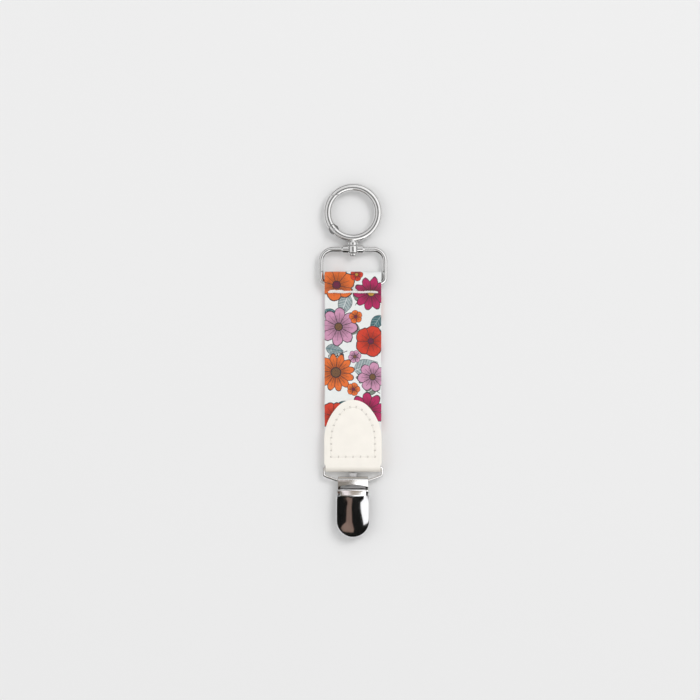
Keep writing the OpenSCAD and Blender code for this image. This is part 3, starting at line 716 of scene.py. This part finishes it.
def strap_line(layer, leather):
    """The strap's middle line in Y and Z: up the front, over the bar, down the back."""
    fold_z = SLEEVE_HIGH[2] / 2
    fold_r = fold_z - layer / 2
    fold_y = SLEEVE_HIGH[1] - fold_z
    bar = np.array([fold_y - BAR_PLAY, fold_z])
    low, ply = layer / 2, layer + PLY_GAP
    back = leather + layer / 2
    rise = np.array([SEAM_Y + 0.55, low + ply])
    reach = bar - rise
    lean = math.degrees(math.atan2(reach[1], reach[0]) + math.asin(fold_r / np.linalg.norm(reach)))
    front = np.array([[SLEEVE_LOW[1], back + ply], [RAMP_Y, back + ply], [FLAT_Y, low + ply], rise])
    rear = np.array([[FLAT_Y, low], [RAMP_Y, back], [SLEEVE_LOW[1], back]])
    return np.vstack([front, arc(bar, fold_r, 90 + lean, 90, 8),
                      arc((fold_y, fold_z), fold_r, 90, -90, 24), rear])


def strap_path(cloth, tab, step):
    """The strap's middle line with eased corners, at even steps, and the run along it."""
    fine = even_steps(strap_line(cloth.layer / MM, tab.leather / MM), FINE_STEP)[0]
    return even_steps(soften(fine, EASE_ROUNDS), step)


def ribbon_ring(half_width, half_thick, edge, across, corner):
    """One closed ring of a flat ribbon with rounded edges, as X and distance from the middle line."""
    flat = np.linspace(-1.0, 1.0, across + 1) * (half_width - edge)
    turn = np.radians(np.linspace(90, -90, corner + 2)[1:-1])
    bend = np.column_stack([half_width - edge + edge * np.cos(turn), half_thick * np.sin(turn)])
    top = np.column_stack([flat, np.full(across + 1, half_thick)])
    return np.vstack([top, bend, top[::-1] * [1, -1], bend[::-1] * [-1, 1]])


def sweep(name, line, ring, capped):
    """A flat ring carried along a line in Y and Z."""
    ahead = headings(line)
    outward = np.column_stack([-ahead[:, 1], ahead[:, 0]])
    n, m = len(line), len(ring)
    points = [(x, line[i, 0] + d * outward[i, 0], line[i, 1] + d * outward[i, 1])
              for i in range(n) for x, d in ring]
    faces = [(i * m + j, i * m + (j + 1) % m, (i + 1) * m + (j + 1) % m, (i + 1) * m + j)
             for i in range(n - 1) for j in range(m)]
    if capped:
        faces += [tuple(range(m))[::-1], tuple(range((n - 1) * m, n * m))]
    return mesh_piece(name, points, faces)


class KEYSTRAP_OT_strap(bpy.types.Operator):
    """Folds the printed sleeve over the loop's bar and tucks both ends into the tab"""
    bl_idname = "key_strap.strap"
    bl_label = "Printed strap"

    def execute(self, context):
        cloth, tab = context.scene.key_strap_cloth, context.scene.key_strap_tab
        layer, wall = cloth.layer / MM, cloth.wall / MM
        line, run = strap_path(cloth, tab, STRAP_STEP)
        ring = ribbon_ring(SLEEVE_HIGH[0], layer / 2, cloth.round / MM, 30, 7)
        piece = sweep("printed_strap", line, ring, capped=False)
        points = points_of(piece)
        fold_run = run[np.argmax(line[:, 0])]
        cloth_place = np.column_stack([points[:, 0], np.repeat(fold_run - run, len(ring)),
                                       np.zeros(len(points))])
        aside = np.abs(points[:, 0])
        near = np.abs(points[:, 1] - SEAM_Y)
        pull = np.exp(-(near / GROOVE_REACH) ** 2) \
            * smooth_step(SEAM_HIGH[0] + GROOVE_END - aside, 0.0, GROOVE_END)
        beat = 0.5 + 0.5 * np.cos(2 * math.pi * points[:, 0] / (cloth.stitch / MM))
        outside = np.tile(ring[:, 1], len(line)) > 0
        for leaf, inward, (between, at_holes) in ((run < fold_run, -1.0, FRONT_GROOVE),
                                                  (run > fold_run, 1.0, BACK_GROOVE)):
            grooved = np.repeat(leaf, len(ring)) & outside
            points[:, 2] += np.where(grooved, inward * pull * (between + at_holes * beat), 0.0)
        wave = sum(depth * np.sin(points[:, 1] * pace + phase) for depth, pace, phase in EDGE_WAVES)
        points[:, 0] -= np.sign(points[:, 0]) * smooth_step(aside, *EDGE_ZONE) * (EDGE_DRAW + wave)
        put_points(piece, points)
        keep_values(piece, "cloth", cloth_place)
        modify(piece, "SOLIDIFY", thickness=wall * MM, offset=-1.0, use_even_offset=True)
        smooth(piece, 50)
        hand_over(piece, printed_cloth(cloth), "strap", "strap_sleeve")
        return {"FINISHED"}


class KEYSTRAP_OT_core(bpy.types.Operator):
    """Lays the webbing inside the printed sleeve"""
    bl_idname = "key_strap.core"
    bl_label = "Webbing core"

    def execute(self, context):
        cloth, tab = context.scene.key_strap_cloth, context.scene.key_strap_tab
        layer, wall = cloth.layer / MM, cloth.wall / MM
        line, _ = strap_path(cloth, tab, CORE_STEP)
        ring = ribbon_ring(CORE_HIGH[0] - CORE_SIDE_PLAY, layer / 2 - wall - CORE_FACE_PLAY, CORE_EDGE, 24, 4)
        piece = sweep("webbing_core", line, ring, capped=True)
        points = points_of(piece)
        sunk = np.exp(-((points[:, 1] - SEAM_Y) / CORE_SINK_REACH) ** 2)
        points[:, 2] -= np.where(points[:, 2] > layer, CORE_SINK_FRONT, -CORE_SINK_BACK) * sunk
        put_points(piece, points)
        smooth(piece, 50)
        hand_over(piece, webbing_finish(cloth), "strap", "strap_core")
        return {"FINISHED"}


# Threads

# Length of one full twist of each thread
STRAP_LAY, TAB_LAY = 1.9, 1.1
# Lift of a stitch above the face and dip of its ends below it
STRAP_FRONT, STRAP_LOCKED, STRAP_BACK = (0.24, 0.35), (0.34, 0.35), (0.46, 0.60)
TAB_FRONT, TAB_BACK = (-0.12, 0.50), (-0.26, 0.60)
# The strap's bobbin thread is sunk this far into its back and keeps off the floor
BOBBIN_SUNK, BOBBIN_LOWEST = 0.98, 0.02
LOCKED_SHIFT, LOCKED_SLIM = (0.35, 0.55), 0.9
SEAM_END, SEAM_WANDER = 0.4, 0.14


def twisted_thread(name, line, radius, lay, sides=12):
    """A two-ply thread along a line in space; lay is the length of one full twist."""
    line, run = even_steps(line, radius * 0.55)
    ahead = headings(line)
    side = np.cross(ahead, [0.0, 0.0, 1.0])
    side /= np.linalg.norm(side, axis=1)[:, None]
    up = np.cross(side, ahead)
    turn = np.linspace(0.0, 2 * math.pi, sides, endpoint=False)
    points, ply = [], []
    for i, p in enumerate(line):
        lobe = np.abs(np.cos(turn - 2 * math.pi * run[i] / lay))
        uneven = 1.0 + 0.06 * math.sin(1.7 * run[i]) + 0.04 * math.sin(4.1 * run[i])
        r = radius * (0.74 + 0.26 * lobe) * uneven
        points += [p + r[k] * (math.cos(turn[k]) * side[i] + math.sin(turn[k]) * up[i]) for k in range(sides)]
        ply += list(lobe)
    n = len(line)
    faces = [(i * sides + (j + 1) % sides, i * sides + j,
              (i + 1) * sides + j, (i + 1) * sides + (j + 1) % sides)
             for i in range(n - 1) for j in range(sides)]
    faces += [tuple(range(sides)), tuple(range((n - 1) * sides, n * sides))[::-1]]
    piece = mesh_piece(name, points, faces)
    keep_values(piece, "ply", np.array(ply))
    in_edit_mode(piece, turn_outwards)
    smooth(piece, 60)
    return piece


def stitch_line(holes, face, lift, dip):
    """From hole to hole: out of the face, along it and back in; lift and dip point away from the part."""
    steps = np.linspace(0.0, 1.0, 17)[:-1]
    rise = np.minimum(1.0, 1.9 * np.sin(math.pi * steps)) ** 0.8
    points = []
    for a, b in zip(holes[:-1], holes[1:]):
        for t, h in zip(steps, rise):
            points.append([*(a + t * (b - a)), face - dip + (lift + dip) * h])
    points.append([*holes[-1], face - dip])
    return np.array(points)


class KEYSTRAP_OT_strap_seam(bpy.types.Operator):
    """Sews the strap's seam below the loop: needle thread in front, bobbin thread behind"""
    bl_idname = "key_strap.strap_seam"
    bl_label = "Strap seam"

    def execute(self, context):
        cloth = context.scene.key_strap_cloth
        layer, radius = cloth.layer / MM, cloth.thread / MM / 2
        span = SEAM_HIGH[0] - SEAM_LOW[0] - SEAM_END
        count = round(span / (cloth.stitch / MM))
        holes = np.array([[span * (i / count - 0.5), SEAM_Y + SEAM_WANDER * math.sin(2.4 * i)]
                          for i in range(count + 1)])
        turned_back = holes[2::-1] + LOCKED_SHIFT
        finish = thread_finish("white_thread", tuple(cloth.thread_colour))
        face = 2 * layer + PLY_GAP
        needle = twisted_thread("strap_needle_stitches", stitch_line(holes, face, *STRAP_FRONT),
                                radius, STRAP_LAY)
        locked = twisted_thread("back_stitches", stitch_line(turned_back, face, *STRAP_LOCKED),
                                radius * LOCKED_SLIM, STRAP_LAY)
        take(needle, locked)
        bpy.ops.object.join()
        behind = stitch_line(holes, 0.0, *STRAP_BACK) * [1, 1, -1] + [0, 0, BOBBIN_SUNK]
        bobbin = twisted_thread("strap_bobbin_stitches", behind, radius, STRAP_LAY)
        points = points_of(bobbin)
        points[:, 2] = np.clip(points[:, 2], BOBBIN_LOWEST, None)
        put_points(bobbin, points)
        for piece, node in ((needle, "strap_needle_thread"), (bobbin, "strap_bobbin_thread")):
            hand_over(piece, finish, "strap", node)
        return {"FINISHED"}


# Leather tab

NOSE_ZONE, ROW_STEP = 4.0, 0.27
# Depth of the line that the seam presses in, of the needle holes and of the thinned edge
SEAM_PRESS, PIT_PRESS, EDGE_PRESS = 0.07, 0.40, 0.12
TAB_BEVEL = 0.22


class TabShape:
    """The tab's outline, seam and needle holes in millimetres."""

    def __init__(self, tab):
        self.wide = TAB_HIGH[0]
        self.low, self.tip = TAB_LOW[1], TAB_HIGH[1]
        self.flank_r, self.nose_r = tab.flank / MM, tab.nose / MM
        self.fold_half = self.wide - tab.taper / MM / 2
        self.pinch_y = self.low + tab.pinch / MM
        self.flank_x = self.wide - self.flank_r
        rise = math.sqrt((self.flank_r - self.nose_r) ** 2 - self.flank_x ** 2)
        self.nose_y = self.tip - self.nose_r
        self.flank_y = self.nose_y - rise
        self.angle = math.degrees(math.atan2(rise, -self.flank_x))
        seam = self.outline(tab.inset / MM, self.low + tab.cross / MM)
        self.seam = np.vstack([seam, seam[:1]])
        around = even_steps(seam, tab.stitch / MM)[0]
        across = even_steps(self.seam[-2:], tab.cross_stitch / MM)[0]
        self.holes = np.vstack([around, across[1:]])

    def outline(self, inset, low):
        return np.vstack([
            [[self.wide - inset, low]],
            arc((self.flank_x, self.flank_y), self.flank_r - inset, 0, self.angle, 24),
            arc((0, self.nose_y), self.nose_r - inset, self.angle, 180 - self.angle, 16),
            arc((-self.flank_x, self.flank_y), self.flank_r - inset, 180 - self.angle, 180, 24),
            [[inset - self.wide, low]]])

    def pit_gap(self, flat):
        """Distance of each flat point from the nearest needle hole."""
        return np.min(np.linalg.norm(flat[:, None, :] - self.holes[None, :, :], axis=2), axis=1)

    def edge_gap(self, flat):
        """Distance of each flat point from the tab's edge."""
        return distance_to(flat, self.outline(0.0, self.low))

    def half(self, y):
        """Half width of the tab at a height."""
        on_nose = y > self.nose_y + self.nose_r * math.sin(math.radians(self.angle))
        nose = np.sqrt(np.clip(self.nose_r ** 2 - (y - self.nose_y) ** 2, 0.0, None))
        flank = self.flank_x + np.sqrt(np.clip(self.flank_r ** 2 - (y - self.flank_y) ** 2, 0.0, None))
        widening = smooth_step(y, self.pinch_y, self.pinch_y + 1.0)
        side = self.fold_half + (self.wide - self.fold_half) * widening
        return np.where(on_nose, nose, np.where(y > self.flank_y, flank, side))


class KEYSTRAP_OT_tab(bpy.types.Operator):
    """Folds the leather tab round the bail and presses its seam and needle holes in"""
    bl_idname = "key_strap.tab"
    bl_label = "Leather tab"

    def execute(self, context):
        tab = context.scene.key_strap_tab
        shape = TabShape(tab)
        radius = TAB_HIGH[2] / 2
        fold_y = shape.low + radius
        straight = shape.tip - fold_y
        nose_rows = NOSE_ZONE * (np.arange(25) / 24) ** 2
        plain_rows = np.arange(NOSE_ZONE, straight, ROW_STEP)[1:]
        rows = np.concatenate([nose_rows, plain_rows])
        front = np.column_stack([shape.tip - rows, np.full(len(rows), 2 * radius)])
        fold = arc((fold_y, radius), radius, 90, 270, 27)
        line = np.vstack([front, fold, front[::-1] * [1, 0]])
        columns = np.linspace(-1.0, 1.0, 95)
        half = shape.half(line[:, 0])
        n, m = len(line), len(columns)
        points = [(c * half[i], line[i, 0], line[i, 1]) for i in range(n) for c in columns]
        faces = [(i * m + j + 1, i * m + j, (i + 1) * m + j, (i + 1) * m + j + 1)
                 for i in range(n - 1) for j in range(m - 1)]
        piece = mesh_piece("folded_tab", points, faces)
        in_edit_mode(piece, merge_doubles)
        outer = len(piece.data.vertices)
        modify(piece, "SOLIDIFY", thickness=tab.leather, offset=-1.0)
        points = points_of(piece)
        flat = points[:outer, :2]
        seam_gap = distance_to(flat, shape.seam)
        on_face = smooth_step(points[:outer, 1], fold_y - 0.4, fold_y + 0.6)
        press = SEAM_PRESS * np.exp(-(seam_gap / 0.6) ** 2) \
            + PIT_PRESS * (1 - smooth_step(shape.pit_gap(flat), 0.10, 0.44)) \
            + EDGE_PRESS * (1 - smooth_step(shape.edge_gap(flat), 0.0, 0.9))
        sign = np.where(points[:outer, 2] > radius, -1.0, 1.0)
        points[:outer, 2] += sign * on_face * press
        put_points(piece, points)
        modify(piece, "BEVEL", width=TAB_BEVEL * MM, segments=3, limit_method="ANGLE",
               angle_limit=math.radians(55))
        points = points_of(piece)
        flat = points[:, :2]
        depth = np.minimum(points[:, 2], 2 * radius - points[:, 2])
        # painted shade: darkens the leather round each needle hole
        keep_values(piece, "pit", (1 - smooth_step(shape.pit_gap(flat), 0.22, 0.46)) * (depth < 0.9))
        at_edge = 1 - smooth_step(shape.edge_gap(flat), 0.05, 0.22)
        keep_values(piece, "rim", at_edge * smooth_step(depth, 0.08, 0.3))
        # painted shade round the fold, growing towards its lower end
        keep_values(piece, "fold_shade", smooth_step(fold_y + 0.5 - points[:, 1], 0.0, 2.2))
        smooth(piece, 50)
        hand_over(piece, leather_finish(tab), "strap", "leather_tab")
        return {"FINISHED"}


class KEYSTRAP_OT_tab_seam(bpy.types.Operator):
    """Sews round the tab: needle thread in front, bobbin thread behind"""
    bl_idname = "key_strap.tab_seam"
    bl_label = "Tab seam"

    def execute(self, context):
        tab = context.scene.key_strap_tab
        holes = TabShape(tab).holes
        radius = tab.thread / MM / 2
        finish = thread_finish("cream_thread", tuple(tab.thread_colour))
        needle = twisted_thread("tab_needle_stitches", stitch_line(holes, TAB_HIGH[2], *TAB_FRONT),
                                radius, TAB_LAY, 8)
        bobbin = twisted_thread("tab_bobbin_stitches", stitch_line(holes, 0.0, *TAB_BACK) * [1, 1, -1],
                                radius, TAB_LAY, 8)
        for piece, node in ((needle, "tab_needle_thread"), (bobbin, "tab_bobbin_thread")):
            hand_over(piece, finish, "strap", node)
        return {"FINISHED"}


# Metal

# The shield is flatter next to the neck: by how much, and over what length and width
NECK_FLATTENING, NECK_ZONE, FLANK_ZONE = 0.85, 3.5, 2.75
# Angles at which the roll round the pin starts and ends, in degrees
ROLL_START, ROLL_END = 75.0, -30.0
TOE_SHIFT = 0.4
TIP_ROWS, PLAIN_ROWS, COLUMNS = 44, 40, 80


class LeverShape:
    """The lever's shield, neck, roll and toe in millimetres, as the outer face of one bent sheet."""

    def __init__(self, metal):
        self.tip, self.toe_z, self.crown_z = LEVER_LOW[1], LEVER_LOW[2], LEVER_HIGH[2]
        self.pin_y, self.pin_z = (PIN_LOW[1] + PIN_HIGH[1]) / 2, (PIN_LOW[2] + PIN_HIGH[2]) / 2
        self.half = LEVER_HIGH[0]
        self.top = self.pin_y - metal.shield_drop / MM
        self.round_y = self.tip + self.half
        self.crown_y = (self.tip + self.pin_y) / 2 + metal.crown_shift / MM
        self.across, self.along = metal.crown_across / MM, metal.crown_along / MM
        self.rim, self.tip_rim, self.rim_z = metal.rim / MM, metal.tip_rim / MM, metal.rim_height / MM
        self.roll, self.neck = metal.roll / MM, metal.neck / MM / 2

    def rows(self, on_round, on_plain):
        """Places of the shield's rows along the lever, closer together towards its tip."""
        turn = np.linspace(0.0, math.pi / 2, on_round + 1)
        return np.concatenate([self.round_y - self.half * np.cos(turn),
                               np.linspace(self.round_y, self.top, on_plain + 1)[1:]])

    def edge_gap(self, x, y):
        """Distance from the shield's rim."""
        return np.clip(self.half - np.hypot(x, np.minimum(y - self.round_y, 0.0)), 0.0, None)

    def height(self, x, y):
        """Height of the crowned face, which flattens towards the neck and turns down at its rim."""
        along = self.crown_z - self.along + np.sqrt(self.along ** 2 - (y - self.crown_y) ** 2)
        drop = self.across - np.sqrt(self.across ** 2 - x ** 2)
        flat = 1.0 - NECK_FLATTENING * smooth_step(y, self.top - NECK_ZONE, self.top) \
            * smooth_step(self.half - np.abs(x), 0.0, FLANK_ZONE)
        past = np.arctan2(np.clip(self.round_y - y, 0.0, None), np.abs(x) + 1e-9) / (math.pi / 2)
        rim = self.rim + (self.tip_rim - self.rim) * smooth_step(past, 0.0, 0.8)
        turn = np.clip(rim - self.edge_gap(x, y), 0.0, rim)
        return along - drop * flat - rim + np.sqrt(rim ** 2 - turn ** 2)

    def neck_rows(self):
        """From the shield's upper edge over the roll to the toe: place, height and share of the edge."""
        around = arc((self.pin_y, self.pin_z), self.roll, ROLL_START, ROLL_END, 19)
        for t in np.linspace(0.0, 1.0, 8)[1:-1]:
            yield self.top + t * (around[0, 0] - self.top), around[0, 1], 1.0 - t
        for row_y, row_z in around:
            yield row_y, row_z, 0.0
        knee_y, knee_z = around[-1]
        for t in (0.33, 0.67, 1.0):
            yield knee_y + t * (self.pin_y + TOE_SHIFT - knee_y), knee_z + t * (self.toe_z - knee_z), 0.0


def pull_edges(piece, place, chosen=None):
    """Extrudes the open edges between the chosen points, or the last new ones, and places the new points."""
    take(piece)
    mesh = piece.data
    if chosen is not None:
        ends = np.empty(len(mesh.edges) * 2, dtype=int)
        mesh.edges.foreach_get("vertices", ends)
        around = np.empty(len(mesh.loops), dtype=int)
        mesh.loops.foreach_get("edge_index", around)
        is_open = np.bincount(around, minlength=len(mesh.edges)) == 1
        mesh.vertices.foreach_set("select", np.zeros(len(mesh.vertices), dtype=bool))
        mesh.edges.foreach_set("select", is_open & chosen[ends.reshape(-1, 2)].all(axis=1))
        mesh.polygons.foreach_set("select", np.zeros(len(mesh.polygons), dtype=bool))
    bpy.context.tool_settings.mesh_select_mode = (False, True, False)
    bpy.ops.object.mode_set(mode="EDIT")
    bpy.ops.mesh.extrude_edges_move()
    bpy.ops.object.mode_set(mode="OBJECT")
    fresh = np.empty(len(mesh.vertices), dtype=bool)
    mesh.vertices.foreach_get("select", fresh)
    points = points_of(piece)
    points[fresh] = place(points[fresh])
    put_points(piece, points)


class KEYSTRAP_OT_lever(bpy.types.Operator):
    """Forms the lever from one sheet: domed shield, turned-down rim, neck, roll round the pin and toe"""
    bl_idname = "key_strap.lever"
    bl_label = "Clip lever"

    def execute(self, context):
        metal = context.scene.key_strap_metal
        shape = LeverShape(metal)
        rows = shape.rows(TIP_ROWS, PLAIN_ROWS)
        free_hands()
        bpy.ops.mesh.primitive_grid_add(x_subdivisions=COLUMNS, y_subdivisions=len(rows) - 1, size=2.0)
        piece = context.active_object
        piece.name = piece.data.name = "domed_lever"
        grid = points_of(piece) * MM
        across = np.sin(np.clip(grid[:, 0], -1.0, 1.0) * math.pi / 2)
        neck_share = shape.neck / shape.half
        neck_line = np.abs(across)[np.argmin(np.abs(np.abs(across) - neck_share))]
        across = np.where(np.abs(np.abs(across) - neck_line) < 1e-5, np.sign(across) * neck_share, across)
        y = rows[np.rint((grid[:, 1] + 1.0) / 2.0 * (len(rows) - 1)).astype(int)]
        x = across * np.sqrt(np.clip(shape.half ** 2 - np.minimum(y - shape.round_y, 0.0) ** 2, 0.0, None))
        put_points(piece, np.column_stack([x, y, shape.height(x, y)]))
        in_edit_mode(piece, merge_doubles)
        points = points_of(piece)
        pull_edges(piece, lambda p: np.column_stack([p[:, :2], np.full(len(p), shape.rim_z)]),
                   shape.edge_gap(points[:, 0], points[:, 1]) < 1e-4)
        points = points_of(piece)
        on_neck = (np.abs(points[:, 1] - shape.top) < 1e-4) & (np.abs(points[:, 0]) < shape.neck + 1e-3)
        for row_y, row_z, left in shape.neck_rows():
            def place(p):
                edge_z = shape.height(p[:, 0], np.full(len(p), shape.top))
                return np.column_stack([p[:, 0], np.full(len(p), row_y), row_z + left * (edge_z - row_z)])
            pull_edges(piece, place, on_neck)
            on_neck = None
        in_edit_mode(piece, merge_doubles, turn_outwards)
        modify(piece, "SOLIDIFY", thickness=metal.sheet, offset=-1.0)
        modify(piece, "BEVEL", width=metal.soft_edge, segments=2, limit_method="ANGLE",
               angle_limit=math.radians(45))
        smooth(piece, 45)
        hand_over(piece, bpy.data.materials["plated_metal"], "lever", "clip_lever")
        return {"FINISHED"}


class KEYSTRAP_OT_metal(bpy.types.Operator):
    """Plates the ring, swivel, loop, bail and clip, and leaves the pins, spring and jaw in plain steel"""
    bl_idname = "key_strap.metal"
    bl_label = "Metal pieces"

    def execute(self, context):
        metal = context.scene.key_strap_metal
        finishes = {"plated_metal": plated_finish(metal), "plain_steel": steel_finish(metal),
                    "pad_plastic": pad_finish(metal)}
        for part in frame["record"]["subparts"]:
            if part["material_slot"] in finishes:
                dress(frame["nodes"][part["node"]], finishes[part["material_slot"]])
        return {"FINISHED"}


class KEYSTRAP_OT_spring(bpy.types.Operator):
    """Rounds the gate's coil spring and lets it ride on the ring"""
    bl_idname = "key_strap.spring"
    bl_label = "Gate spring"

    def execute(self, context):
        piece = bpy.data.objects.new("coil_spring", frame["nodes"]["gate_spring"].data.copy())
        context.scene.collection.objects.link(piece)
        in_edit_mode(piece, merge_doubles)
        modify(piece, "SUBSURF", levels=1, render_levels=1)
        smooth(piece, 60)
        hand_over(piece, bpy.data.materials["plain_steel"], "ring", "gate_spring")
        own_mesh(piece)
        return {"FINISHED"}


# Stage

FLOOR_SIZE, FLOOR_DROP = 8.0, 0.0002
CAMERA_SHIFT = (-1.3, 4.5)
SENSOR = 36.0
# Name, place, size and share of the window's power
LAMPS = (("window", (1.2, 1.2, 1.9), (1.1, 1.1), 1.0), ("fill", (-1.6, 0.2, 1.4), (0.8, 1.6), 0.25))


def level(height, *corners):
    """Corners of a flag that lies at one height."""
    return [(x, y, height) for x, y in corners]


# Planes that show only in reflections and paint them: dark ones paint dark reflections, glowing ones paint
# bright reflections; name, tone, glow and corners
FLAGS = (
    ("clip_flag", (0.003, 0.003, 0.002, 1.0), 0.0, level(
        20.0, (400.0, -600.0), (400.0, -70.0), (60.0, -74.0), (21.0, -75.2), (12.7, -76.6), (11.5, -73.1),
        (8.9, -66.4), (8.4, -61.5), (8.6, -55.8), (-18.2, -55.8), (-400.0, -55.0), (-400.0, -600.0))),
    ("clip_strip", (0.44, 0.30, 0.24, 1.0), 0.0, level(
        19.0, (-0.5, -57.7), (-3.2, -57.7), (-6.5, -63.3), (-7.0, -73.4), (-14.2, -78.4), (-11.8, -81.0),
        (0.5, -81.0), (1.0, -79.0), (-1.0, -73.4), (-1.5, -63.3))),
    ("clip_shade", (0.26, 0.235, 0.205, 1.0), 1.0, level(
        60.0, (0.6, -55.8), (0.6, 15.0), (-60.0, 15.0), (-60.0, -55.8))),
    ("clip_gleam", (1.0, 1.0, 1.0, 1.0), 1.7, level(
        60.0, (60.0, -55.8), (60.0, 15.0), (0.6, 15.0), (0.6, -55.8))),
    ("neck_gleam", (0.97, 0.89, 0.89, 1.0), 1.1, level(
        59.0, (-2.0, -31.3), (-2.0, -18.0), (-60.0, -18.0), (-60.0, -31.3))),
    ("neck_shade", (0.32, 0.265, 0.20, 1.0), 1.0, level(
        59.0, (60.0, -29.5), (60.0, -18.0), (-2.0, -18.0), (-2.0, -29.5))),
    ("ring_flag", (0.34, 0.34, 0.34, 1.0), 0.0, level(
        120.0, (34.0, 24.0), (34.0, 90.0), (-40.0, 90.0), (-40.0, 24.0))),
    ("loop_flag", (0.02, 0.02, 0.02, 1.0), 0.0,
     [(-12.0, 39.2, 0.2), (11.0, 39.2, 0.2), (11.0, 39.2, 12.0), (-12.0, 39.2, 12.0)]),
)


class KEYSTRAP_OT_stage(bpy.types.Operator):
    """Sets the pale floor, the soft light, the painted reflections that the metal mirrors, and the camera
    above the part
    """
    bl_idname = "key_strap.stage"
    bl_label = "Stage"

    def execute(self, context):
        stage = context.scene.key_strap_stage
        free_hands()
        bpy.ops.mesh.primitive_plane_add(size=FLOOR_SIZE, location=(0.0, 0.0, -FLOOR_DROP))
        floor = context.active_object
        floor.name = "floor"
        finish, w = new_finish("pale_floor")
        tone = tuple(stage.floor)
        w.surface(Base_Color=w.blend(w.noise(place_mm(w), 0.01), deeper(tone, 0.99), tone),
                  Roughness=0.9, Specular_IOR_Level=0.1)
        dress(floor, finish)

        world = bpy.data.worlds.new("studio")
        context.scene.world = world
        world.use_nodes = True
        w = Wiring(world.node_tree)
        plain = world.node_tree.nodes["Background"]
        plain.inputs["Color"].default_value = (1.0, 1.0, 1.0, 1.0)
        plain.inputs["Strength"].default_value = stage.daylight
        # For mirrored rays only, a painted sky that lights nothing: brighter towards +X, dim walls near the
        # horizon
        ray = w.node("SeparateXYZ", Vector=w.node("TexCoord").outputs["Generated"]).outputs
        ceiling = w.ramp(ray[0], -0.2, 0.4, 0.8, 1.15)
        walls = w.ramp(ray[2], 0.1, 0.62, 0.16, 1.0)
        mirrored = w.node("Background", Color=(1.0, 1.0, 1.0, 1.0), Strength=w.product(ceiling, walls))
        light_path = w.node("LightPath").outputs
        mixed = w.node("MixShader", Fac=light_path["Is Glossy Ray"])
        w.put(mixed.inputs[1], plain.outputs[0])
        w.put(mixed.inputs[2], mirrored.outputs[0])
        w.put(world.node_tree.nodes["World Output"].inputs["Surface"], mixed.outputs[0])

        for name, tone, glow, corners in FLAGS:
            flag = mesh_piece(name, corners, [tuple(range(len(corners)))])
            finish, w = new_finish(name)
            # painted reflections: a dark plane, or a glowing one that is no lamp
            matt = deeper(tone, 0.0 if glow else 1.0)
            w.surface(Base_Color=w.blend(w.noise(place_mm(w), 0.15), deeper(matt, 0.5), matt),
                      Roughness=0.9, Specular_IOR_Level=0.0, Emission_Color=tone, Emission_Strength=glow)
            dress(flag, finish)
            flag.visible_camera = flag.visible_diffuse = flag.visible_shadow = False
            flag.visible_transmission = flag.visible_volume_scatter = False

        for name, place, size, power in LAMPS:
            light = bpy.data.lights.new(name, "AREA")
            light.shape = "RECTANGLE"
            light.size, light.size_y = size
            light.energy = stage.window * power
            lamp = bpy.data.objects.new(name, light)
            lamp.location = place
            lamp.rotation_euler = (-lamp.location).to_track_quat("-Z", "Y").to_euler()
            lamp.visible_glossy = False
            context.scene.collection.objects.link(lamp)

        lens = bpy.data.cameras.new("camera")
        lens.sensor_width = SENSOR
        lens.lens = lens.sensor_width * stage.distance / stage.frame_width
        lens.clip_end = 20.0
        camera = bpy.data.objects.new("camera", lens)
        camera.location = (CAMERA_SHIFT[0] * MM, CAMERA_SHIFT[1] * MM, stage.distance)
        context.scene.collection.objects.link(camera)
        context.scene.camera = camera
        context.scene.view_settings.view_transform = "Standard"
        return {"FINISHED"}


class KEYSTRAP_PT_panel(bpy.types.Panel):
    """Lists the pieces and their settings"""
    bl_idname = "KEYSTRAP_PT_panel"
    bl_label = "Key Strap"
    bl_space_type = "VIEW_3D"
    bl_region_type = "UI"
    bl_category = "Key Strap"

    def draw(self, context):
        for operator in OPERATORS:
            self.layout.operator(operator.bl_idname)
        for name in SETTINGS:
            group = getattr(context.scene, name)
            column = self.layout.box().column()
            for key in group.__annotations__:
                column.prop(group, key)


SETTINGS = {"key_strap_cloth": StrapSettings, "key_strap_tab": TabSettings,
            "key_strap_metal": MetalSettings, "key_strap_stage": StageSettings}
OPERATORS = (KEYSTRAP_OT_metal, KEYSTRAP_OT_lever, KEYSTRAP_OT_spring, KEYSTRAP_OT_strap, KEYSTRAP_OT_core,
             KEYSTRAP_OT_strap_seam, KEYSTRAP_OT_tab, KEYSTRAP_OT_tab_seam, KEYSTRAP_OT_stage)


def register():
    for cls in (*SETTINGS.values(), *OPERATORS, KEYSTRAP_PT_panel):
        bpy.utils.register_class(cls)
    for name, cls in SETTINGS.items():
        setattr(bpy.types.Scene, name, bpy.props.PointerProperty(type=cls))


def unregister():
    for name in SETTINGS:
        delattr(bpy.types.Scene, name)
    for cls in reversed((*SETTINGS.values(), *OPERATORS, KEYSTRAP_PT_panel)):
        bpy.utils.unregister_class(cls)


def main():
    register()
    bpy.ops.key_strap.stage()
    bpy.ops.key_strap.metal()
    bpy.ops.key_strap.lever()
    bpy.ops.key_strap.spring()
    bpy.ops.key_strap.strap()
    bpy.ops.key_strap.core()
    bpy.ops.key_strap.strap_seam()
    bpy.ops.key_strap.tab()
    bpy.ops.key_strap.tab_seam()
    free_hands()


if __name__ == "__main__":
    main()
